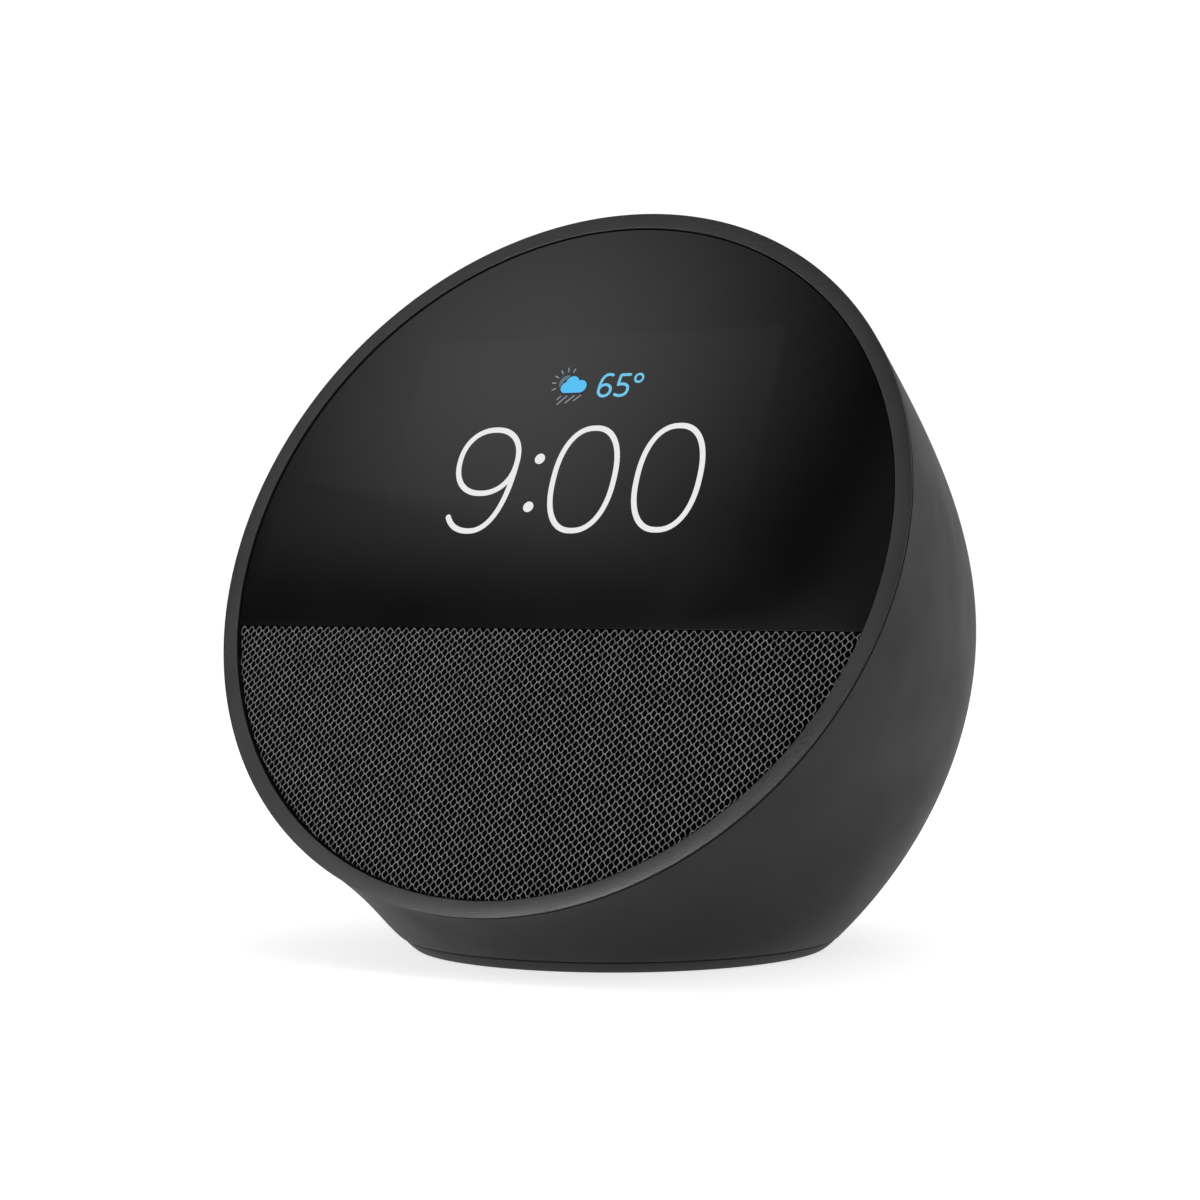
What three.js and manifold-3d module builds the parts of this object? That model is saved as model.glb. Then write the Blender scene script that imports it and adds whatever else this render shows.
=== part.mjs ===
// A small bedside smart speaker: a round face tilted back, a ball-like shell
// behind it, and everything that it holds inside. Millimetres, +Z up, the face
// looks towards -Y. The origin is on the floor, below the middle of the box.

import * as THREE from 'three';
import { mergeVertices } from 'three/addons/utils/BufferGeometryUtils.js';
import Module from 'manifold-3d';

const wasm = await Module();
wasm.setup();

const deg = THREE.MathUtils.degToRad;

// ---------------------------------------------------------------- dimensions

// The face plane
const FACE_TILT = deg(25);
const FACE_CENTRE = new THREE.Vector3(0, -27.67, 60);
const FACE_RADIUS = 56.5;
const OPENING_RADIUS = 54;
const DIVIDER_Y = -12.85;
const GAP = 0.3;

// The shell: link curves run from the face circle back and down to the base
const SHELL_SETBACK = 0.65;
const SHELL_EDGE_RADIUS = FACE_RADIUS - 0.05;
const WALL = 1.95;
const BASE_CENTRE_Y = -6.47;
const BASE_RADIUS_X = 33;
const BASE_RADIUS_Y = 34.2;
const BASE_EDGE_Z = 1.8;
const RING_LEAN = [0, deg(7)];
const RING_PULL = [2.6, 58.6];
const RING_PULL_SIDE = 3.5;
const BASE_PULL = [2, 78.8];
const BASE_PULL_SIDE = -19.2;
const BASE_RISE = [deg(28), deg(53.3)];
const REBATE_RADIUS = 55.2;
const REBATE_DEPTH = 3.9;
const SHELL_TURNS = 44;
const SHELL_ROWS = 10;

// Depths of the face layers, measured from the face plane
const GLASS_FRONT = -0.4;
const GLASS_BACK = -1.3;
const FABRIC_FRONT = -0.4;
const FABRIC_BACK = -1;
const GRILLE_FRONT = -1.3;
const GRILLE_BACK = -2.6;
const FRAME_FRONT = -2.2;
const FRAME_LOWER_FRONT = -2.9;
const FRAME_BACK = -4.4;
const FACE_PIECE_RADIUS = OPENING_RADIUS - GAP;

// The four screws that pull the front frame onto bosses in the shell
const SCREW_X = 38;
const SCREW_Y = 27.5;
const SCREW_SPOTS = [
  [SCREW_X, SCREW_Y], [-SCREW_X, SCREW_Y], [-SCREW_X, -SCREW_Y], [SCREW_X, -SCREW_Y],
];
const SCREW_HEAD_FRONT = -3.3;
const SCREW_HEAD_BACK = -4.7;
const SCREW_TIP = -17;
const BOSS_RADIUS = 3;
const BOSS_FRONT = -9.3;
const FRAME_BOSS_RADIUS = 3.4;
const FRAME_BOSS_BACK = -9;
const PILOT_RADIUS = 1.2;

// The display
const LCD_WIDTH = 62;
const LCD_HEIGHT = 45.2;
const LCD_Y = 13.1;
const LCD_FRONT = -1.6;
const LCD_BACK = -3.2;
const BACKLIGHT_BACK = -5.3;
const BRACKET_FRONT = -6.2;
const BRACKET_BACK = -6.8;
const BRACKET_BOTTOM = -3.2;
const BRACKET_TOP = 36;
const POST_SPOTS = [[-25, 2], [25, 2], [-25, 34], [25, 34]];
const FLEX_WIDTH = 12;
const FLEX_Y = 33.2;

// The loudspeaker
const DRIVER_Y = -28;
const DRIVER_DEPTH = -1.8;
const COLLAR_BACK = -6.2;
const FLANGE_RADIUS = 21.7;
const CHAMBER_RADIUS = 24.2;
const CHAMBER_BACK = -31;
const CHAMBER_WALL = 1.6;
const CHAMBER_REACH = 52.6;
const CHAMBER_FLOOR_Z = 6.4;
const SPEAKER_CABLE = [
  [0, -9.2, -16.5], [0, -8, -18.6], [0, -5.6, -20], [0, -2, -19.6], [0, 0.8, -17.6], [0, 1.9, -16.4],
];

// The main board
const BOARD_FRONT = -13.3;
const BOARD_BACK = -14.5;
const BOARD_WIDTH = 58;
const BOARD_HEIGHT = 40;
const BOARD_Y = 18;
const CHIP_FRONT = BOARD_BACK - GAP;
const HEAT_SINK_X = -8;
const HEAT_SINK_Y = 22;
const HEAT_SINK_DEPTH = 26;
const FIN_SPOTS = [-13, -8.7, -4.3, 0, 4.3, 8.7, 13];

// The buttons, on the top of the shell behind the face
const BUTTON_TRAVEL = 0.17;
const BUTTON_SPREAD = deg(17);
const BUTTON_RADIUS = 4.5;
const BUTTON_HOLE_RADIUS = 4.9;
const PORT_RADIUS = 0.6;
const MICROPHONE_X = 4.5;
const STAKE_X = 4.5;
const CARRIER_WIDTH = 16.5;
const CARRIER_DEPTH = 12;

// The power socket, low on the back
const SOCKET_Z = 14;
const SOCKET_FACE_Y = 32;
const SOCKET_NOSE_RADIUS = 3.7;
const SOCKET_BORE_RADIUS = 2.1;
const POWER_CABLE = [
  [12, -12.2, 50.5], [13, -4, 48], [13.5, 6, 41], [11, 14, 28], [8.5, 12, 17], [6.8, 11, 10],
];

// The base
const FOOT_HEIGHT = 1.5;
const FOOT_INSET = 1;
const SHELF_Z = 4.2;
const SHELF_HEIGHT = 2;

// ------------------------------------------------------------------ materials

function finish(color, roughness, metalness = 0) {
  return new THREE.MeshStandardMaterial({ color, roughness, metalness });
}

const SHELL_PLASTIC = finish(0x3a3a3c, 0.62);
const RING_PLASTIC = finish(0x47474a, 0.55);
const BLACK_GLASS = finish(0x0b0b0d, 0.06);
const KNIT = finish(0x2c2c2e, 0.9);
const INNER_PLASTIC = finish(0x1d1d1f, 0.6);
const RUBBER = finish(0x202022, 0.85);
const STEEL = finish(0x9a9ca0, 0.35, 1);
const ALUMINIUM = finish(0xb4b6ba, 0.4, 1);
const COPPER = finish(0xb0673a, 0.4, 1);
const FERRITE = finish(0x3f3f42, 0.7);
const PAPER_CONE = finish(0x2a2a2a, 0.8);
const BOARD_GREEN = finish(0x1c4a34, 0.5);
const CHIP_BLACK = finish(0x151517, 0.5);
const FLEX_AMBER = finish(0x8a5a22, 0.45);
const LCD_DARK = finish(0x14161a, 0.2);
const LIGHT_WHITE = finish(0xd8dade, 0.5);
const FOAM = finish(0x303032, 0.95);
const CABLE_BLACK = finish(0x161616, 0.6);

// -------------------------------------------------------------- solid helpers

function toSolid(geometry) {
  const bare = geometry.clone();
  bare.deleteAttribute('normal');
  bare.deleteAttribute('uv');
  const merged = mergeVertices(bare, 1e-4);
  return new wasm.Manifold(new wasm.Mesh({
    numProp: 3,
    vertProperties: new Float32Array(merged.attributes.position.array),
    triVerts: new Uint32Array(merged.index.array),
  }));
}

function toGeometry(solid) {
  const mesh = solid.getMesh();
  const geometry = new THREE.BufferGeometry();
  const points = new Float32Array(mesh.vertProperties);
  geometry.setAttribute('position', new THREE.BufferAttribute(points, 3));
  geometry.setIndex([...mesh.triVerts]);
  return geometry;
}

function join(first, ...others) {
  let solid = toSolid(first);
  for (const other of others) solid = solid.add(toSolid(other));
  return toGeometry(solid);
}

function cut(first, ...others) {
  let solid = toSolid(first);
  for (const other of others) solid = solid.subtract(toSolid(other));
  return toGeometry(solid);
}

function common(first, ...others) {
  let solid = toSolid(first);
  for (const other of others) solid = solid.intersect(toSolid(other));
  return toGeometry(solid);
}

// A body turned about the Z axis. Each corner is [radius, z], anticlockwise
// when the radius grows to the right and z grows upwards.
function turned(corners, segments, closed = true) {
  const profile = corners.map(([radius, z]) => new THREE.Vector2(radius, z));
  if (closed) profile.push(profile[0].clone());
  const geometry = new THREE.LatheGeometry(profile, segments);
  return geometry.rotateX(Math.PI / 2);
}

// A round bar along Z between two heights
function bar(radius, low, high, segments = 20) {
  const geometry = new THREE.CylinderGeometry(radius, radius, high - low, segments);
  return geometry.rotateX(Math.PI / 2).translate(0, 0, (low + high) / 2);
}

function tube(inner, outer, low, high, segments = 40) {
  return turned([[inner, low], [outer, low], [outer, high], [inner, high]], segments);
}

// A block given by its middle in x and y, and by its two heights
function block(width, height, low, high, x = 0, y = 0) {
  return new THREE.BoxGeometry(width, height, high - low).translate(x, y, (low + high) / 2);
}

function slab(shape, low, high, curveSegments = 28) {
  const options = { depth: high - low, bevelEnabled: false, curveSegments };
  return new THREE.ExtrudeGeometry(shape, options).translate(0, 0, low);
}

// The part of a disc on one side of a level line
function discPart(radius, lineY, upper) {
  const angle = Math.asin(lineY / radius);
  const shape = new THREE.Shape();
  if (upper) shape.absarc(0, 0, radius, angle, Math.PI - angle, false);
  else shape.absarc(0, 0, radius, Math.PI - angle, 2 * Math.PI + angle, false);
  return shape;
}

function ellipse(radiusX, radiusY) {
  const shape = new THREE.Shape();
  shape.absellipse(0, 0, radiusX, radiusY, 0, 2 * Math.PI, false);
  return shape;
}

// A band of constant thickness along a bent line in the YZ plane, centred on x
function ribbon(line, thickness, width, x = 0) {
  const half = thickness / 2;
  const left = [];
  const right = [];
  line.forEach(([y, z], index) => {
    const before = line[Math.max(index - 1, 0)];
    const after = line[Math.min(index + 1, line.length - 1)];
    const along = new THREE.Vector2(after[0] - before[0], after[1] - before[1]).normalize();
    left.push(new THREE.Vector2(y - along.y * half, z + along.x * half));
    right.unshift(new THREE.Vector2(y + along.y * half, z - along.x * half));
  });
  const shape = new THREE.Shape([...left, ...right]);
  const geometry = slab(shape, -width / 2, width / 2);
  const toYZ = new THREE.Matrix4().set(0, 0, 1, x, 1, 0, 0, 0, 0, 1, 0, 0, 0, 0, 0, 1);
  return geometry.applyMatrix4(toYZ);
}

// A round cable along a smooth curve through the points
function cable(points, radius, steps) {
  const path = new THREE.CatmullRomCurve3(points.map((point) => new THREE.Vector3(...point)));
  const section = new THREE.Shape();
  section.absarc(0, 0, radius, 0, 2 * Math.PI, false);
  const options = { steps, extrudePath: path, curveSegments: 4, bevelEnabled: false };
  return new THREE.ExtrudeGeometry(section, options);
}

// ------------------------------------------------------------ shell's surface

const FACE_UP = new THREE.Vector3(0, Math.sin(FACE_TILT), Math.cos(FACE_TILT));
const FACE_BACKWARD = new THREE.Vector3(0, Math.cos(FACE_TILT), -Math.sin(FACE_TILT));
const FACE_MATRIX = new THREE.Matrix4()
  .makeRotationX(Math.PI / 2 - FACE_TILT)
  .setPosition(FACE_CENTRE);

function blend([low, high], share) {
  return low + (high - low) * share;
}

// The outer surface. turn goes round the face, 90 degrees at its top, and
// travel goes from 0 at the face to 1 at the base.
function shellPoint(turn, travel) {
  const side = Math.cos(turn);
  const rise = Math.sin(turn);
  const share = (1 + rise) / 2;

  const radial = new THREE.Vector3(side, 0, 0).addScaledVector(FACE_UP, rise);
  const start = FACE_CENTRE.clone()
    .addScaledVector(radial, SHELL_EDGE_RADIUS)
    .addScaledVector(FACE_BACKWARD, SHELL_SETBACK);
  const lean = blend(RING_LEAN, share);
  const startPull = blend(RING_PULL, share) + RING_PULL_SIDE * side * side;
  const startHandle = start.clone()
    .addScaledVector(FACE_BACKWARD, startPull * Math.cos(lean))
    .addScaledVector(radial, -startPull * Math.sin(lean));

  const end = new THREE.Vector3(
    BASE_RADIUS_X * side,
    BASE_CENTRE_Y + BASE_RADIUS_Y * rise,
    BASE_EDGE_Z,
  );
  const outward = new THREE.Vector3(side * BASE_RADIUS_Y, rise * BASE_RADIUS_X, 0).normalize();
  const endRise = blend(BASE_RISE, share);
  const endPull = blend(BASE_PULL, share) + BASE_PULL_SIDE * side * side;
  const endHandle = end.clone().addScaledVector(outward, endPull * Math.cos(endRise));
  endHandle.z += endPull * Math.sin(endRise);

  return new THREE.CubicBezierCurve3(start, startHandle, endHandle, end).getPoint(travel);
}

function shellNormal(turn, travel) {
  const step = 1e-3;
  const low = Math.max(travel - step, 0);
  const high = Math.min(travel + step, 1);
  const along = shellPoint(turn, high).sub(shellPoint(turn, low));
  const around = shellPoint(turn + step, travel).sub(shellPoint(turn - step, travel));
  return around.cross(along).normalize().negate();
}

// A frame on the surface: z points out of it, x runs level round it
function shellFrame(turn, travel) {
  const out = shellNormal(turn, travel);
  const back = new THREE.Vector3(0, 1, 0).projectOnPlane(out).normalize();
  const across = new THREE.Vector3().crossVectors(back, out);
  return new THREE.Matrix4()
    .makeBasis(across, back, out)
    .setPosition(shellPoint(turn, travel));
}

// The closed skin between the outer surface and its parallel inside when wall
// is more than 0. With no wall it is the full solid, drawn in by inset.
function shellBody(turns, rows, wall, inset = 0) {
  const points = [];
  for (let i = 0; i < turns; i += 1) {
    const turn = (2 * Math.PI * i) / turns;
    const section = [];
    for (let j = 0; j <= rows; j += 1) section.push(shellPoint(turn, j / rows));
    if (wall > 0) {
      const inner = section.map((point, j) => {
        const normal = shellNormal(turn, j / rows);
        return point.clone().addScaledVector(normal, -wall);
      });
      const radial = new THREE.Vector3(Math.cos(turn), 0, 0)
        .addScaledVector(FACE_UP, Math.sin(turn));
      inner[0] = section[0].clone().addScaledVector(radial, -wall);
      inner[rows] = new THREE.Vector3(
        (BASE_RADIUS_X - wall) * Math.cos(turn),
        BASE_CENTRE_Y + (BASE_RADIUS_Y - wall) * Math.sin(turn),
        BASE_EDGE_Z,
      );
      section.push(...inner.reverse());
    } else {
      section.forEach((point, j) => {
        point.addScaledVector(shellNormal(turn, j / rows), -inset);
      });
      section.unshift(FACE_CENTRE.clone().addScaledVector(FACE_BACKWARD, SHELL_SETBACK));
      section.push(new THREE.Vector3(0, BASE_CENTRE_Y, BASE_EDGE_Z));
    }
    points.push(section);
  }
  const count = points[0].length;
  const position = points.flat().flatMap((point) => point.toArray());
  const index = [];
  const last = wall > 0 ? count : count - 1;
  for (let i = 0; i < turns; i += 1) {
    const next = (i + 1) % turns;
    for (let j = 0; j < last; j += 1) {
      const above = (j + 1) % count;
      const a = i * count + j;
      const b = next * count + j;
      const c = next * count + above;
      const d = i * count + above;
      index.push(a, c, b, a, d, c);
    }
  }
  const geometry = new THREE.BufferGeometry();
  geometry.setAttribute('position', new THREE.Float32BufferAttribute(position, 3));
  geometry.setIndex(index);
  return geometry;
}

// -------------------------------------------------------------------- groups

const speaker = new THREE.Group();

const face = new THREE.Group();
face.position.copy(FACE_CENTRE);
face.rotation.x = Math.PI / 2 - FACE_TILT;
speaker.add(face);

const driver = new THREE.Group();
driver.position.set(0, DRIVER_Y, DRIVER_DEPTH);
face.add(driver);

const base = new THREE.Group();
base.position.y = BASE_CENTRE_Y;
speaker.add(base);

const socket = new THREE.Group();
socket.position.set(0, SOCKET_FACE_Y, SOCKET_Z);
socket.rotation.x = -Math.PI / 2;
speaker.add(socket);

// Five frames across the top: the middle three carry the buttons, and the
// outer two carry a microphone and a stake each
const topFrames = [-2, -1, 0, 1, 2].map((step) => {
  const frame = new THREE.Group();
  const matrix = shellFrame(Math.PI / 2 - step * BUTTON_SPREAD, BUTTON_TRAVEL);
  matrix.decompose(frame.position, frame.quaternion, frame.scale);
  speaker.add(frame);
  return { frame, matrix, step };
});

function add(group, name, geometry, material) {
  const mesh = new THREE.Mesh(geometry, material);
  mesh.name = name;
  group.add(mesh);
  return mesh;
}

// ---------------------------------------------------------------- outer shell

function rearShell() {
  const core = shellBody(SHELL_TURNS / 2, SHELL_ROWS, 0, WALL / 2);
  const rebate = bar(REBATE_RADIUS, -REBATE_DEPTH, 2, SHELL_TURNS).applyMatrix4(FACE_MATRIX);
  let shell = toSolid(shellBody(SHELL_TURNS, SHELL_ROWS, WALL)).subtract(toSolid(rebate));

  for (const [x, y] of SCREW_SPOTS) {
    const boss = bar(BOSS_RADIUS, -60, BOSS_FRONT, 10).translate(x, y, 0);
    shell = shell.add(toSolid(common(boss.applyMatrix4(FACE_MATRIX), core)));
  }
  for (const [x, y] of SCREW_SPOTS) {
    const pilot = bar(PILOT_RADIUS, SCREW_TIP - 1, -5, 8).translate(x, y, 0);
    shell = shell.subtract(toSolid(pilot.applyMatrix4(FACE_MATRIX)));
  }

  const shelf = block(120, 120, SHELF_Z, SHELF_Z + SHELF_HEIGHT);
  const shelfHole = slab(ellipse(26, 27), SHELF_Z - 1, SHELF_Z + SHELF_HEIGHT + 1);
  const shelfRing = cut(shelf, shelfHole.translate(0, BASE_CENTRE_Y, 0));
  shell = shell.add(toSolid(common(shelfRing, core)));

  for (const { matrix, step } of topFrames) {
    if (Math.abs(step) < 2) {
      const hole = bar(BUTTON_HOLE_RADIUS, -5, 4, 24).applyMatrix4(matrix);
      shell = shell.subtract(toSolid(hole));
    } else {
      const outer = Math.sign(step);
      const stake = join(bar(2.6, -7.7, -1, 12), bar(1.5, -11.2, -7, 10));
      stake.translate(outer * STAKE_X, 0, 0).applyMatrix4(matrix);
      shell = shell.add(toSolid(stake));
      const port = bar(PORT_RADIUS, -4, 3, 10).translate(-outer * MICROPHONE_X, 0, 0);
      shell = shell.subtract(toSolid(port.applyMatrix4(matrix)));
    }
  }

  const socketHole = bar(SOCKET_NOSE_RADIUS + GAP, -12, 14, 24).applyMatrix4(
    new THREE.Matrix4().makeRotationX(-Math.PI / 2).setPosition(0, SOCKET_FACE_Y, SOCKET_Z),
  );
  return toGeometry(shell.subtract(toSolid(socketHole)));
}

add(speaker, 'rear_shell', rearShell(), SHELL_PLASTIC);

// ----------------------------------------------------------------------- face

const ringProfile = [
  [54, -3.6], [54.9, -3.6], [54.9, -0.3], [56.35, -0.3], [FACE_RADIUS, -0.15],
  [56.35, 0], [54.15, 0], [OPENING_RADIUS, -0.15],
];
add(face, 'bezel_ring', turned(ringProfile, 56), RING_PLASTIC);

const glassShape = discPart(FACE_PIECE_RADIUS, DIVIDER_Y + GAP / 2, true);
add(face, 'touch_glass', slab(glassShape, GLASS_BACK, GLASS_FRONT), BLACK_GLASS);

function glassAdhesive() {
  const outline = discPart(FACE_PIECE_RADIUS - 0.4, DIVIDER_Y + 0.6, true);
  const window = block(LCD_WIDTH + 1.4, LCD_HEIGHT + 1.2, -3, 0, 0, LCD_Y);
  const round = slab(discPart(FACE_PIECE_RADIUS - 3.2, DIVIDER_Y + 2.2, true), -3, 0);
  return cut(slab(outline, -1.9, -1.6), window, round);
}
add(face, 'glass_adhesive', glassAdhesive(), FOAM);

const lcdPanel = block(LCD_WIDTH, LCD_HEIGHT, LCD_BACK, LCD_FRONT, 0, LCD_Y);
add(face, 'lcd_panel', lcdPanel, LCD_DARK);

const backlight = block(LCD_WIDTH + 0.6, LCD_HEIGHT + 0.6, BACKLIGHT_BACK, LCD_BACK - GAP, 0, LCD_Y);
add(face, 'backlight_unit', backlight, LIGHT_WHITE);

function displayBracket() {
  const middle = (BRACKET_BOTTOM + BRACKET_TOP) / 2;
  const height = BRACKET_TOP - BRACKET_BOTTOM;
  const plate = block(LCD_WIDTH + 4, height, BRACKET_BACK, BRACKET_FRONT, 0, middle);
  const flanges = [-1, 1].map((side) => block(0.8, height, -6.5, -4.7, side * 32.6, middle));
  const posts = POST_SPOTS.map(([x, y]) => (
    bar(2, BOARD_FRONT + GAP, -6.5, 12).translate(x, y, 0)
  ));
  const slot = block(FLEX_WIDTH + 1.4, 2, -8, -5, 0, FLEX_Y);
  return cut(join(plate, ...flanges, ...posts), slot);
}
add(face, 'display_bracket', displayBracket(), STEEL);

const flexLine = [[28, -5.75], [FLEX_Y, -5.75], [FLEX_Y, -12.3], [29.5, -12.3]];
add(face, 'display_flex', ribbon(flexLine, 0.2, FLEX_WIDTH), FLEX_AMBER);

function frontFrame() {
  const plate = bar(FACE_PIECE_RADIUS, FRAME_BACK, FRAME_LOWER_FRONT, 40);
  const upperHalf = discPart(FACE_PIECE_RADIUS, DIVIDER_Y + 0.6, true);
  const pad = slab(upperHalf, FRAME_LOWER_FRONT - 0.5, FRAME_FRONT);
  const bosses = SCREW_SPOTS.map(([x, y]) => (
    bar(FRAME_BOSS_RADIUS, FRAME_BOSS_BACK, FRAME_BACK + 0.5, 16).translate(x, y, 0)
  ));
  const heads = SCREW_SPOTS.map(([x, y]) => bar(2.7, -5, 0, 16).translate(x, y, 0));
  const holes = SCREW_SPOTS.map(([x, y]) => bar(1.3, -10, 0, 12).translate(x, y, 0));
  const collar = tube(18.6, CHAMBER_RADIUS, COLLAR_BACK, FRAME_BACK + 0.5, 28);
  const window = block(LCD_WIDTH + 1.4, LCD_HEIGHT + 1.6, COLLAR_BACK + 0.6, 0, 0, LCD_Y);
  const driverHole = bar(17.5, -6, 0, 28).translate(0, DRIVER_Y, 0);
  const body = join(plate, pad, collar.translate(0, DRIVER_Y, 0), ...bosses);
  return cut(body, window, driverHole, ...heads, ...holes);
}
add(face, 'front_frame', frontFrame(), INNER_PLASTIC);

function grillePlate() {
  const pitch = 7;
  const radius = 2.1;
  const holes = [];
  for (let row = 0; row < 6; row += 1) {
    const y = DRIVER_Y + (row - 2) * pitch * 0.82;
    const shift = row % 2 ? pitch / 2 : 0;
    for (let column = -4; column <= 4; column += 1) {
      const x = column * pitch + shift;
      const reach = Math.hypot(x, y);
      const inPlate = y < DIVIDER_Y - 4 && reach < FACE_PIECE_RADIUS - 4;
      if (inPlate && Math.hypot(x, y - DRIVER_Y) < 24) {
        holes.push(bar(radius, -4, 0, 6).translate(x, y, 0));
      }
    }
  }
  const outline = discPart(FACE_PIECE_RADIUS, DIVIDER_Y - GAP / 2, false);
  return cut(slab(outline, GRILLE_BACK, GRILLE_FRONT), ...holes);
}
add(face, 'grille_plate', grillePlate(), INNER_PLASTIC);

const fabricShape = discPart(FACE_PIECE_RADIUS, DIVIDER_Y - GAP / 2, false);
add(face, 'grille_fabric', slab(fabricShape, FABRIC_BACK, FABRIC_FRONT), KNIT);

const screwProfile = [
  [0, SCREW_TIP], [0.9, SCREW_TIP], [0.9, SCREW_HEAD_BACK], [2.4, SCREW_HEAD_BACK],
  [2.4, -3.9], [1.9, SCREW_HEAD_FRONT], [0, SCREW_HEAD_FRONT],
];
SCREW_SPOTS.forEach(([x, y], index) => {
  const screw = add(face, `frame_screw_${index + 1}`, turned(screwProfile, 12, false), STEEL);
  screw.position.set(x, y, 0);
});

[-1, 1].forEach((side) => {
  const name = side < 0 ? 'antenna_left' : 'antenna_right';
  const leaf = block(6, 20, -5.1, -4.7, side * 43, 2);
  const fold = block(0.4, 20, -8.6, -4.7, side * 40.2, 2);
  add(face, name, join(leaf, fold), COPPER);
});

// ---------------------------------------------------------------- loudspeaker

const ROUND = 24;
add(driver, 'speaker_gasket', tube(19, FLANGE_RADIUS, -5.4, -4.7, ROUND), FOAM);

function speakerBasket() {
  const body = turned([
    [7.6, -17.2], [14.9, -17.2], [14.9, -13.8], [19.4, -7.2], [FLANGE_RADIUS, -7.2],
    [FLANGE_RADIUS, -5.7], [17.6, -5.7], [18.2, -6.9], [13.9, -13.4], [12.6, -14.6],
    [12.6, -16], [7.6, -16],
  ], ROUND);
  const windows = [0, 1, 2, 3].map((quarter) => (
    block(11, 10, -12.6, -8, 0, 17).rotateZ((quarter * Math.PI) / 2 + Math.PI / 4)
  ));
  return cut(body, ...windows);
}
add(driver, 'speaker_basket', speakerBasket(), STEEL);

function surround() {
  const rollRadius = 15.3;
  const rollZ = -5.3;
  const arc = (radius) => [0, 1, 2, 3, 4].map((step) => {
    const angle = (Math.PI * step) / 4;
    return [rollRadius + radius * Math.cos(angle), rollZ + radius * Math.sin(angle)];
  });
  const lip = [[18.6, rollZ], [18.6, -4.8], [17.2, -4.8]];
  return turned([...lip, ...arc(1.9).slice(1), ...arc(1.4).reverse(), [16.9, rollZ]], ROUND);
}
add(driver, 'surround', surround(), RUBBER);

const coneProfile = [[7.2, -11], [13.2, -6.6], [13.2, -6], [6.9, -10.5], [6.9, -11]];
add(driver, 'speaker_cone', turned(coneProfile, ROUND), PAPER_CONE);

// A quarter arc from the rim to the axis
function domeArc(radius, height) {
  return [0, 1, 2, 3, 4, 5].map((step) => {
    const angle = (Math.PI / 2) * (step / 5);
    return [step === 5 ? 0 : radius * Math.cos(angle), -10.1 + height * Math.sin(angle)];
  });
}
const dustCapProfile = [...domeArc(6.2, 3).reverse(), ...domeArc(6.6, 3.4)];
add(driver, 'dust_cap', turned(dustCapProfile, ROUND, false), PAPER_CONE);

add(driver, 'voice_coil', tube(5.8, 6.5, -20.5, -10.4, ROUND), COPPER);

function spider() {
  const upper = [];
  const lower = [];
  for (let step = 0; step <= 6; step += 1) {
    const radius = 6.9 + (7.1 * step) / 6;
    const wave = step % 2 ? 0.45 : 0;
    upper.unshift([radius, -12.6 + wave]);
    lower.push([radius, -12.95 + wave]);
  }
  return turned([...lower, ...upper], ROUND);
}
add(driver, 'spider', spider(), KNIT);

add(driver, 'top_plate', tube(6.9, 12.8, -19, -17.5, ROUND), STEEL);
add(driver, 'magnet', tube(8.3, 13, -24.5, -19.3, ROUND), FERRITE);
add(driver, 'pole_yoke', turned([
  [0, -26.8], [13, -26.8], [13, -24.8], [5.4, -24.8], [5.4, -17.6], [0, -17.6],
], ROUND, false), STEEL);

// The chamber is a cup behind the driver, trimmed to the ring and to the base
function chamberCup(radius, reach, back, front, floor) {
  const cup = bar(radius, back, front, 32).translate(0, DRIVER_Y, 0);
  const withinRing = bar(reach, back - 1, front + 1, 48);
  const aboveFloor = new THREE.BoxGeometry(120, 120, 100)
    .translate(0, 0, floor + 50)
    .applyMatrix4(FACE_MATRIX.clone().invert());
  return common(cup, withinRing, aboveFloor);
}

function speakerChamber() {
  const outer = chamberCup(
    CHAMBER_RADIUS,
    CHAMBER_REACH,
    CHAMBER_BACK,
    COLLAR_BACK - GAP,
    CHAMBER_FLOOR_Z,
  );
  const inner = chamberCup(
    CHAMBER_RADIUS - CHAMBER_WALL,
    CHAMBER_REACH - CHAMBER_WALL,
    CHAMBER_BACK + CHAMBER_WALL,
    2,
    CHAMBER_FLOOR_Z + CHAMBER_WALL,
  );
  const cableHole = bar(1.3, -4, 4, 12).rotateX(Math.PI / 2);
  return cut(outer, inner, cableHole.translate(0, DRIVER_Y + CHAMBER_RADIUS, -20));
}
add(face, 'speaker_chamber', speakerChamber(), INNER_PLASTIC);

add(face, 'speaker_cable', cable(SPEAKER_CABLE, 0.7, 10), CABLE_BLACK);

// ---------------------------------------------------------------- electronics

function mainBoard() {
  const board = block(BOARD_WIDTH, BOARD_HEIGHT, BOARD_BACK, BOARD_FRONT, 0, BOARD_Y);
  const notch = block(8, 4, -16, -12, 0, BOARD_Y + BOARD_HEIGHT / 2);
  const holes = POST_SPOTS.map(([x, y]) => bar(1.2, -16, -12, 12).translate(x, y, 0));
  return cut(board, notch, ...holes);
}
add(face, 'main_board', mainBoard(), BOARD_GREEN);

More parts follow.
